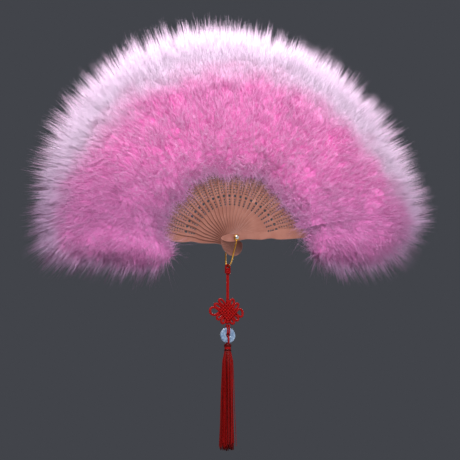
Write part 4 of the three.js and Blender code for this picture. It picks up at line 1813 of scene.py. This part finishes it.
                crowd.append(interpolate(way, self.crowd_rows))
                hang = max(columns[c].hang, columns[c + 1].hang)
                rim_crowd.append((1.0 - self.hang_thins * hang) if way > self.rim_from else 0.0)
                inner_crowd.append(interpolate(way, self.inner_crowd_rows))
        for c, open_side in ((0, index == 0), (len(columns) - 1, index == self.layout.last)):
            ring = tuple(range(c * count, (c + 1) * count))
            faces.append(ring if c == 0 else ring[::-1])
            crowd.append(1.0 if is_guard and open_side else self.hidden_crowd)
            rim_crowd.append(1.0 if is_guard and open_side else 0.0)
            inner_crowd.append(0.0)
        made = Meshes.new(name, np.array(points), [face[::-1] for face in faces])
        Meshes.store(made, "flow", np.array(flows))
        Meshes.store(made, "out", np.array(outs))
        Meshes.store(made, "reach", np.array(reaches))
        Meshes.store(made, "pale", np.array(pales))
        Meshes.store(made, "facing", np.array(facings))
        for key, values in (("crowd", crowd), ("rim_crowd", rim_crowd), ("inner_crowd", inner_crowd)):
            Meshes.store(made, key, np.array(values), "FACE")
        return made

    def build(self) -> None:
        """Grows every plume."""
        recipe = DownRecipe(self.kinds)
        for index in range(self.layout.last + 1):
            names = self.layout.names(index)
            core = self.core(index, f"{names.plume}_down")
            made = recipe.grow(
                core, f"{names.plume}_down", self.finishes.down, Density=1.0, Length=1.0,
                Seed=index * self.seeds_apart,
            )
            fit(made, names.body, "feather_down", names.plume)
            self.layout.depth(index)
            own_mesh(made)


@dataclass
class PivotSet:
    """The rivet through the sticks and the wire bail that hangs on its ends."""

    finishes: Finishes
    rivet_radius: float = 1.5 * MM
    head_radius: float = 2.4 * MM
    head_height: float = 1.4 * MM
    seat: float = 19.5 * MM
    facets: int = 40
    wire_radius: float = 0.9 * MM
    eyelet_radius: float = 2.7 * MM
    eyelet_at: float = 18.3 * MM
    wire_sides: int = 12
    wire_steps: int = 90
    dome: tuple = (
        (1.0, 0.0), (1.0, 0.25), (0.93, 0.45), (0.78, 0.68), (0.55, 0.86), (0.28, 0.96), (0.0, 1.0)
    )
    wire: tuple = (
        (0.0, -18.3, -2.7), (-0.73, -18.3, -6.67), (-1.47, -15.4, -13.3), (-2.2, -12.5, -20.0),
        (-1.8, -7.5, -25.1), (-0.79, 0.9, -29.7), (0.0, 9.15, -31.2), (0.0, 13.5, -31.4),
        (0.0, 18.2, -29.5), (0.0, 20.2, -23.9), (0.0, 20.0, -12.9), (0.0, 18.3, -2.7),
    )

    def rivet(self) -> None:
        """Turns the rivet with its two domed heads."""
        top = [(self.head_radius * wide, self.seat + self.head_height * high) for wide, high in self.dome]
        upper = [
            (self.rivet_radius, 0.0), (self.rivet_radius, self.seat - 0.05 * MM),
            (self.rivet_radius, self.seat), *top,
        ]
        lower = [(radius, -height) for radius, height in upper[:0:-1]]
        made = Meshes.turned("rivet_seen", lower + upper, self.facets)
        made.data.materials.append(self.finishes.silver)
        Meshes.place(made, Matrix.Rotation(math.pi / 2.0, 4, "X"))
        fit(made, "front_guard", "rivet_metal", "rivet")

    def bail(self, recipe: CordRecipe) -> None:
        """Bends the wire and its two eyelets."""
        wire = smooth_path(np.array(self.wire) * MM, self.wire_steps)
        turn = np.arange(self.wire_steps // 2) * 4.0 * math.pi / self.wire_steps
        ring = np.stack(
            [self.eyelet_radius * np.cos(turn), np.zeros_like(turn), self.eyelet_radius * np.sin(turn)], 1
        )
        lines = [(wire, False)] + [
            (ring + np.array((0.0, side * self.eyelet_at, 0.0)), True) for side in (-1.0, 1.0)
        ]
        source = Meshes.chains("bail_seen", lines)
        made = recipe.grow(
            source, "bail_seen", self.finishes.gold, Radius=self.wire_radius, Sides=self.wire_sides
        )
        fit(made, "bail", "bail_wire", "bail")

    def build(self, recipe: CordRecipe) -> None:
        """Builds both pieces."""
        self.rivet()
        self.bail(recipe)


@dataclass(frozen=True)
class PendantLine:
    """The heights down the pendant, and the place along Y where it all hangs."""

    y: float = 13.5 * MM
    loop_centre: float = -32.5 * MM
    loop_foot: float = -35.75 * MM
    hanger_foot: float = -41.35 * MM
    lead_top: float = -41.65 * MM
    lead_foot: float = -73.6 * MM
    knot_centre: float = -89.3 * MM
    stub_top: float = -100.6 * MM
    stub_foot: float = -104.4 * MM
    ring_top: float = -105.65 * MM
    disc_centre: float = -118.75 * MM
    ring_foot: float = -130.6 * MM
    cap_top: float = -129.4 * MM
    cap_foot: float = -138.9 * MM
    skirt_top: float = -139.2 * MM


RISING = np.array((1.0, 0.0, 1.0)) / math.sqrt(2.0)
FALLING = np.array((1.0, 0.0, -1.0)) / math.sqrt(2.0)


@dataclass
class WovenKnot:
    """The flat endless knot: six strands woven across six, with eight petals and two side loops."""

    line: PendantLine
    finishes: Finishes
    pitch: float = 2.9 * MM
    radius: float = 1.5 * MM
    sides: int = 10
    strands: int = 6
    strand_steps: int = 36
    petal_steps: int = 26
    petal: tuple = (
        (0.26, -1.9), (0.58, -2.4), (0.88, -1.7), (1.0, 0.0), (0.88, 1.7), (0.58, 2.4), (0.26, 1.9)
    )
    left_loop: tuple = (
        (-13.4, -2.9), (-16.0, -4.5), (-19.4, -4.8), (-22.5, -3.2), (-23.5, 0.2), (-22.3, 3.4),
        (-19.2, 4.9), (-15.8, 4.4), (-13.2, 2.8),
    )
    right_loop: tuple = (
        (12.9, 3.2), (14.8, 4.6), (17.2, 4.6), (19.2, 2.9), (19.9, -0.2), (19.3, -3.4), (17.4, -4.9),
        (15.0, -4.4), (13.0, -2.9),
    )
    rising_petals: tuple = (((25.8, 8.7), (0.0, 7.9)), ((8.6, 9.0), (17.4, 7.1)))
    falling_petals: tuple = (((-17.5, 6.9), (17.6, 10.2)), ((0.0, 7.5), (0.0, 9.9)))
    stub_radius: float = 1.45 * MM
    stub_turns: float = 1.6
    stub_steps: int = 24
    bow_lead: float = 0.6 * MM
    bow_spare: int = 5
    bow_more_steps: int = 8
    lead_gap: float = 0.3 * MM
    lead_apart: float = 0.874 * MM
    tail_apart: float = 0.9 * MM
    tail_rise: float = 3.0 * MM
    foot_apart: float = 0.6 * MM

    def offset(self, number: int) -> float:
        """Gives how far a strand lies off the knot's middle line."""
        return (number - (self.strands + 1) / 2.0) * self.pitch

    def strand(self, is_rising: bool, number: int) -> Array:
        """Weaves one strand over and under those that cross it.

        Args:
            is_rising: Whether it runs up to the right, or down to the right.
            number: Its number, from 1.

        Returns:
            Its points, from its left end to its right end.
        """
        along, across = (RISING, FALLING) if is_rising else (FALLING, RISING)
        half = self.strands * self.pitch / 2.0
        run = np.linspace(-half, half, self.strand_steps + 1)[:, None]
        side = 1.0 if is_rising else -1.0
        wave = np.cos(math.pi * (run / self.pitch + (self.strands + 1) / 2.0))
        height = side * (-1.0) ** number * self.radius * wave
        return run * along + self.offset(number) * across + height * np.array((0.0, 1.0, 0.0))

    def bow(self, start: Array, end: Array, outwards: Array, turn: float, length: float) -> Array:
        """Joins two ends with a petal.

        Args:
            start: The first end.
            end: The second end.
            outwards: The way out of this side of the knot.
            turn: How far the petal leans off that way, in degrees.
            length: How far the petal reaches, in millimetres.

        Returns:
            The petal's points, without its ends.
        """
        angle = math.atan2(outwards[2], outwards[0]) + math.radians(turn)
        ahead = np.array((math.cos(angle), 0.0, math.sin(angle)))
        aside = np.array((-math.sin(angle), 0.0, math.cos(angle)))
        flip = 1.0 if np.dot(start - end, aside) < 0.0 else -1.0
        base = (start + end) / 2.0
        anchors = [start - self.bow_lead * outwards, start]
        anchors += [
            base + ahead * (out * length * MM) + aside * (flip * wide * MM) for out, wide in self.petal
        ]
        anchors += [end, end - self.bow_lead * outwards]
        curve = smooth_path(anchors, self.petal_steps + self.bow_more_steps)
        return curve[self.bow_spare : -self.bow_spare]

    def paths(self) -> list[tuple[Array, bool]]:
        """Follows every length of cord in the knot.

        Returns:
            The lines, in the knot's own frame, and whether each closes.
        """
        right_loop = smooth_path([(x * MM, 0.0, z * MM) for x, z in self.right_loop], self.petal_steps)
        left_loop = smooth_path([(x * MM, 0.0, z * MM) for x, z in self.left_loop], self.petal_steps)
        last = self.strands
        top = self.line.lead_foot - self.lead_gap - self.line.knot_centre
        foot = self.line.stub_foot + self.radius - self.line.knot_centre
        lines = []
        for side, first, second, bend in (
            (1.0, self.strand(True, 1)[::-1], self.strand(False, 1), left_loop),
            (-1.0, self.strand(False, last), self.strand(True, last)[::-1], right_loop[::-1]),
        ):
            beside = side * self.lead_apart
            lead = np.array([(beside, 0.0, top), (beside, 0.0, (top + first[0][2]) / 2.0)])
            tail = np.array(
                [(side * self.tail_apart, 0.0, foot + self.tail_rise), (side * self.foot_apart, 0.0, foot)]
            )
            lines.append((np.vstack([lead, first, bend, second, tail]), False))
        for is_rising, ahead in ((True, RISING), (False, FALLING)):
            petals = self.rising_petals if is_rising else self.falling_petals
            for low, (right_petal, left_petal) in zip(range(2, last, 2), petals):
                one, other = self.strand(is_rising, low), self.strand(is_rising, low + 1)
                right = self.bow(one[-1], other[-1], ahead, *right_petal)
                left = self.bow(other[0], one[0], -ahead, *left_petal)
                lines.append((np.vstack([one, right, other[::-1], left]), True))
        return lines

    def build(self, recipe: CordRecipe) -> Object:
        """Ties the knot and the small stopper knot under it.

        Args:
            recipe: The tree that sweeps a cord along a path.

        Returns:
            The finished knot.
        """
        centre = np.array((0.0, self.line.y, self.line.knot_centre))
        lines = [(points + centre, cyclic) for points, cyclic in self.paths()]
        top, foot = self.line.stub_top - self.radius, self.line.stub_foot + self.radius
        stub = helix(
            (0.0, self.line.y), self.stub_radius, top, foot, self.stub_turns, self.stub_steps
        )
        lines.append((stub, False))
        source = Meshes.chains("endless_knot", lines)
        made = recipe.grow(
            source, "endless_knot", self.finishes.cord, Radius=self.radius, Sides=self.sides
        )
        return fit(made, "knot", "red_cord", "mystic_knot")


@dataclass
class Tassel:
    """The stone ring on its cord loops, and the tassel with its bound head."""

    line: PendantLine
    finishes: Finishes
    cord_radius: float = 0.95 * MM
    low_cord_radius: float = 1.3 * MM
    strand_apart: float = 1.2 * MM
    sides: int = 10
    steps: int = 60
    upper_loop: tuple = (
        (0.0, 0.0, 0.0), (0.0, -2.0, 1.2), (0.0, -3.1, 3.6), (0.0, -3.1, 7.5), (0.0, -2.7, 10.9),
        (0.0, 0.0, 12.0), (0.0, 2.7, 10.9), (0.0, 3.1, 7.5), (0.0, 3.1, 3.6), (0.0, 2.0, 1.2),
    )
    lower_loop: tuple = (
        (0.0, 0.0, 0.0), (0.0, -2.0, 0.6), (0.0, -3.2, 2.4), (0.0, -3.35, 6.0), (0.0, -3.2, 8.6),
        (0.0, -2.0, 10.2), (0.0, 0.0, 10.8), (0.0, 2.0, 10.2), (0.0, 3.2, 8.6), (0.0, 3.35, 6.0),
        (0.0, 3.2, 2.4), (0.0, 2.0, 0.6),
    )
    disc_radius: float = 9.7 * MM
    disc_hole: float = 2.7 * MM
    disc_half: float = 1.8 * MM
    disc_steps: int = 41
    disc_rounding: float = 0.36
    disc_facets: int = 72
    cap_radius: float = 4.5 * MM
    binding_turns: float = 6.0
    binding_radius: float = 0.42 * MM
    binding_sides: int = 8
    binding_steps: int = 36
    binding_foot: float = 0.24
    binding_top: float = 0.52
    binding_wide: float = 0.82
    cap_facets: int = 96
    cap_ribs: int = 32
    rib_depth: float = 0.25 * MM
    cap_shares: tuple = (
        (0.0, 0.0), (0.9, 0.0), (1.0, 0.06), (0.93, 0.16), (0.8, 0.27), (0.76, 0.4), (0.8, 0.52),
        (0.96, 0.62), (1.0, 0.73), (0.93, 0.86), (0.7, 0.96), (0.35, 1.0), (0.0, 1.0),
    )
    skirt_length: float = 124.0 * MM
    yarn_count: int = 430
    yarn_radius: float = 0.34 * MM
    skirt_top_radius: float = 3.9 * MM
    skirt_foot_radius: float = 8.6 * MM
    wave: float = 3.6 * MM
    uneven: float = 0.08
    gather: float = 0.8

    def ring_cord(self, recipe: CordRecipe) -> Object:
        """Passes two strands over the ring's upper half and one thick one round its lower half."""
        y = self.line.y
        loop = smooth_path(np.array(self.upper_loop) * MM * (1.0, 1.0, -1.0), self.steps, cyclic=True)
        upper = [
            (loop + np.array((side * self.strand_apart, y, self.line.ring_top)), True)
            for side in (-1.0, 1.0)
        ]
        foot = smooth_path(np.array(self.lower_loop) * MM, self.steps, cyclic=True)
        lower = [(foot + np.array((0.0, y, self.line.ring_foot)), True)]
        parts = []
        for name, lines, radius in (
            ("ring_cord_upper", upper, self.cord_radius), ("ring_cord_lower", lower, self.low_cord_radius)
        ):
            source = Meshes.chains(name, lines)
            parts.append(recipe.grow(source, name, self.finishes.cord, Radius=radius, Sides=self.sides))
        return fit(Meshes.joined("ring_cord_seen", parts), "tassel", "red_cord", "ring_cord")

    def disc(self) -> Object:
        """Turns the flat stone ring with its rounded rims."""
        middle = (self.disc_radius + self.disc_hole) / 2.0
        reach = (self.disc_radius - self.disc_hole) / 2.0
        turn = np.linspace(-math.pi, math.pi, self.disc_steps)
        wide = np.sign(np.cos(turn)) * np.abs(np.cos(turn)) ** self.disc_rounding
        high = np.sign(np.sin(turn)) * np.abs(np.sin(turn)) ** self.disc_rounding
        profile = [(middle + reach * w, self.disc_half * h) for w, h in zip(wide, high)]
        profile[-1] = profile[0]
        made = Meshes.turned("stone_ring", profile, self.disc_facets)
        made.data.materials.append(self.finishes.stone)
        upright = Matrix.Rotation(math.pi / 2.0, 4, "X")
        place = Matrix.Translation((0.0, self.line.y, self.line.disc_centre)) @ upright
        return fit(Meshes.place(made, place), "tassel", "pale_stone", "stone_disc")

    def cap(self, recipe: CordRecipe) -> Object:
        """Binds the tassel's ribbed head with thread."""
        height = self.line.cap_top - self.line.cap_foot
        profile = [(self.cap_radius * wide, high * height) for wide, high in self.cap_shares]
        head = Meshes.turned(
            "tassel_head", profile, self.cap_facets, ribs=self.cap_ribs, depth=self.rib_depth
        )
        head.data.materials.append(self.finishes.yarn)
        Meshes.place(head, Matrix.Translation((0.0, self.line.y, self.line.cap_foot)))
        low = self.line.cap_foot + self.binding_foot * height
        high = self.line.cap_foot + self.binding_top * height
        winding = helix(
            (0.0, self.line.y), self.binding_wide * self.cap_radius, high, low, self.binding_turns,
            self.binding_steps,
        )
        source = Meshes.chains("tassel_binding", [(winding, False)])
        binding = recipe.grow(
            source, "tassel_binding", self.finishes.cord, Radius=self.binding_radius,
            Sides=self.binding_sides,
        )
        return fit(Meshes.joined("tassel_head", [head, binding]), "tassel", "red_cord", "tassel_cap")

    def skirt(self) -> Object:
        """Hangs the tassel's strands."""
        source = Meshes.new("tassel_strands", np.zeros((1, 3)))
        recipe = FringeRecipe()
        made = recipe.grow(
            source,
            "tassel_strands",
            self.finishes.yarn,
            Strands=self.yarn_count,
            Top_Radius=self.skirt_top_radius,
            Foot_Radius=self.skirt_foot_radius,
            Length=self.skirt_length,
            Yarn_Radius=self.yarn_radius,
            Wave=self.wave,
            Uneven=self.uneven,
            Gather=self.gather,
            Top_Centre=(0.0, self.line.y, self.line.skirt_top),
        )
        return fit(made, "tassel", "tassel_yarn", "tassel_skirt")

    def build(self, recipe: CordRecipe) -> None:
        """Builds the ring, its cord and the tassel.

        Args:
            recipe: The tree that sweeps a cord along a path.
        """
        self.ring_cord(recipe)
        self.disc()
        self.cap(recipe)
        self.skirt()


@dataclass
class Hanger:
    """The small cord loop with its knot on the bail, and the doubled cord below it."""

    line: PendantLine
    finishes: Finishes
    cord_radius: float = 0.95 * MM
    knot_cord_radius: float = 1.3 * MM
    loop_half: float = 2.5 * MM
    loop_stretch: float = 1.35
    knot_rise: float = 2.2 * MM
    knot_radius: float = 2.55 * MM
    knot_turns: float = 3.0
    knot_steps: int = 28
    loop_steps: int = 40
    post_rise: float = 0.5 * MM
    strand_apart: float = 0.874 * MM
    sides: int = 12
    lead_points: int = 24

    def loop(self, recipe: CordRecipe) -> Object:
        """Ties the loop that goes round the bail's wire.

        Args:
            recipe: The tree that sweeps a cord along a path.

        Returns:
            The loop with its knot.
        """
        line = self.line
        turn = np.arange(self.loop_steps) * 2.0 * math.pi / self.loop_steps
        ring = np.stack(
            [
                self.loop_half * np.cos(turn), np.full_like(turn, line.y),
                line.loop_centre + self.loop_half * self.loop_stretch * np.sin(turn),
            ], 1
        )
        knot = helix(
            (0.0, line.y), self.knot_radius, line.loop_foot + self.knot_rise,
            line.hanger_foot + self.knot_cord_radius, self.knot_turns, self.knot_steps,
        )
        posts = [
            np.array(
                [
                    (side * self.strand_apart, line.y, line.loop_foot + self.post_rise),
                    (side * self.strand_apart, line.y, line.hanger_foot),
                ]
            )
            for side in (-1.0, 1.0)
        ]
        lines = [(ring, True), (knot, False), *((post, False) for post in posts)]
        source = Meshes.chains("hanger_loop_seen", lines)
        made = recipe.grow(
            source, "hanger_loop_seen", self.finishes.cord, Radius=self.knot_cord_radius, Sides=self.sides
        )
        return fit(made, "hanger", "red_cord", "hanger_loop")

    def leads(self, recipe: CordRecipe, hung: Sequence[Object]) -> None:
        """Hangs the two strands between the hanger's knot and the endless knot.

        Args:
            recipe: The tree that sweeps a cord along a path.
            hung: The pieces that hang on them; not used.
        """
        line = self.line
        for side, name in ((-1.0, "lead_cord_left"), (1.0, "lead_cord_right")):
            heights = np.linspace(line.lead_top, line.lead_foot, self.lead_points)
            path = [(side * self.strand_apart, line.y, height) for height in heights]
            source = Meshes.chains(name, [(np.array(path), False)])
            made = recipe.grow(source, name, self.finishes.cord, Radius=self.cord_radius, Sides=self.sides)
            fit(made, "lead_cord", "red_cord", "lead_cord")
            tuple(path[0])


class Pendant:
    """Everything that hangs on the bail."""

    def __init__(self, finishes: Finishes) -> None:
        """Sets up the pendant's parts on one line.

        Args:
            finishes: The fan's materials.
        """
        line = PendantLine()
        self.hanger = Hanger(line, finishes)
        self.knot = WovenKnot(line, finishes)
        self.tassel = Tassel(line, finishes)

    def build(self, recipe: CordRecipe) -> None:
        """Builds every part, the hanging ones before the cord that carries them.

        Args:
            recipe: The tree that sweeps a cord along a path.
        """
        self.hanger.loop(recipe)
        knot = self.knot.build(recipe)
        self.tassel.build(recipe)
        self.hanger.leads(recipe, [knot])


# The studio.


@dataclass(frozen=True)
class SoftLamp:
    """One area lamp, aimed at the fan."""

    name: str
    place: tuple[float, float, float]
    size: float
    power: float
    aim: tuple[float, float, float] = (0.0, 0.0, 0.05)

    def build(self) -> None:
        """Hangs the lamp."""
        data = bpy.data.lights.new(self.name, "AREA")
        data.shape = "DISK"
        data.size = self.size
        data.energy = self.power
        lamp = bpy.data.objects.new(self.name, data)
        lamp.location = self.place
        lamp.rotation_euler = (Vector(self.place) - Vector(self.aim)).to_track_quat("Z", "Y").to_euler()
        bpy.context.scene.collection.objects.link(lamp)


@dataclass
class Studio:
    """The camera, the pale floor, the dark backdrop and the soft lamps."""

    azimuth: float = math.radians(-20.8)
    elevation: float = math.radians(-11.7)
    distance: float = 4.5
    lens: float = 281.75
    aside: float = -1.9 * MM
    above: float = 12.5 * MM
    floor_height: float = -1.8
    floor_half: float = 8.0
    backdrop: tuple = colour(66, 68, 74)
    floor: tuple = colour(205, 206, 209)
    ambient: tuple = colour(236, 236, 242)
    ambient_strength: float = 0.8
    lamps: tuple = (
        SoftLamp(name="key", place=(-0.6, -1.75, 1.35), size=1.1, power=60.0),
        SoftLamp(name="fill", place=(1.9, -1.6, 0.3), size=1.8, power=14.0),
        SoftLamp(name="top", place=(0.1, 0.0, 2.0), size=1.3, power=54.0),
        SoftLamp(name="back", place=(0.9, 2.3, 0.9), size=1.6, power=30.0),
    )

    def camera(self) -> None:
        """Sets up the camera at the photograph's angle."""
        cos_up, sin_up = math.cos(self.elevation), math.sin(self.elevation)
        right = Vector((math.cos(self.azimuth), math.sin(self.azimuth), 0.0))
        back = Vector((cos_up * math.sin(self.azimuth), -cos_up * math.cos(self.azimuth), sin_up))
        up = back.cross(right)
        target = right * self.aside + up * self.above
        data = bpy.data.cameras.new("camera")
        data.lens = self.lens
        made = bpy.data.objects.new("camera", data)
        turn = Matrix((right, up, back)).transposed().to_4x4()
        made.matrix_world = Matrix.Translation(target + back * self.distance) @ turn
        bpy.context.scene.collection.objects.link(made)
        bpy.context.scene.camera = made

    def seen_by_camera(self, sketch: NodeSketch) -> Node:
        """Adds a mask of the rays that show a background: camera, glossy and transmission rays."""
        rays = sketch.add("ShaderNodeLightPath").outputs
        either = sketch.math("MAXIMUM", rays["Is Camera Ray"], rays["Is Glossy Ray"])
        return sketch.math("MAXIMUM", either, rays["Is Transmission Ray"])

    def world(self) -> None:
        """Lights the air softly and shows the backdrop's colour behind the fan."""
        world = bpy.data.worlds.new("studio")
        world.use_nodes = True
        world.node_tree.nodes.clear()
        s = NodeSketch(world.node_tree)
        shown = s.add("ShaderNodeBackground", {"Color": self.backdrop, "Strength": 1.0})
        lit = s.add("ShaderNodeBackground", {"Color": self.ambient, "Strength": self.ambient_strength})
        mixed = s.add("ShaderNodeMixShader", {0: self.seen_by_camera(s), 1: lit, 2: shown})
        s.add("ShaderNodeOutputWorld", {0: mixed})
        bpy.context.scene.world = world

    def ground(self) -> None:
        """Lays the pale floor."""
        half = self.floor_half
        corners = [(-half, -half), (half, -half), (half, half), (-half, half)]
        made = Meshes.new(
            "floor", np.array([(x, y, self.floor_height) for x, y in corners]), [(0, 1, 2, 3)]
        )
        material = bpy.data.materials.new("floor_paper")
        material.use_nodes = True
        material.node_tree.nodes.clear()
        s = NodeSketch(material.node_tree)
        shader = s.add("ShaderNodeBsdfPrincipled")
        s.add("ShaderNodeOutputMaterial", {"Surface": shader})
        shader.inputs["Base Color"].default_value = self.floor
        shader.inputs["Roughness"].default_value = 0.9
        made.data.materials.append(material)

    def build(self) -> None:
        """Sets up the whole studio."""
        self.camera()
        self.world()
        self.ground()
        for lamp in self.lamps:
            lamp.build()
        bpy.context.scene.view_settings.view_transform = "Standard"


def main() -> None:
    """Builds the fan in its studio."""
    logging.basicConfig(level=logging.INFO, format="%(name)s: %(message)s")
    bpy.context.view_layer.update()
    Studio().build()
    finishes = Finishes()
    cord = CordRecipe()
    Pendant(finishes).build(cord)
    PivotSet(finishes).build(cord)
    layout = FanLayout()
    StickSet(layout, finishes).build()
    PlumeSet(layout, finishes).build()


if __name__ == "__main__":
    main()
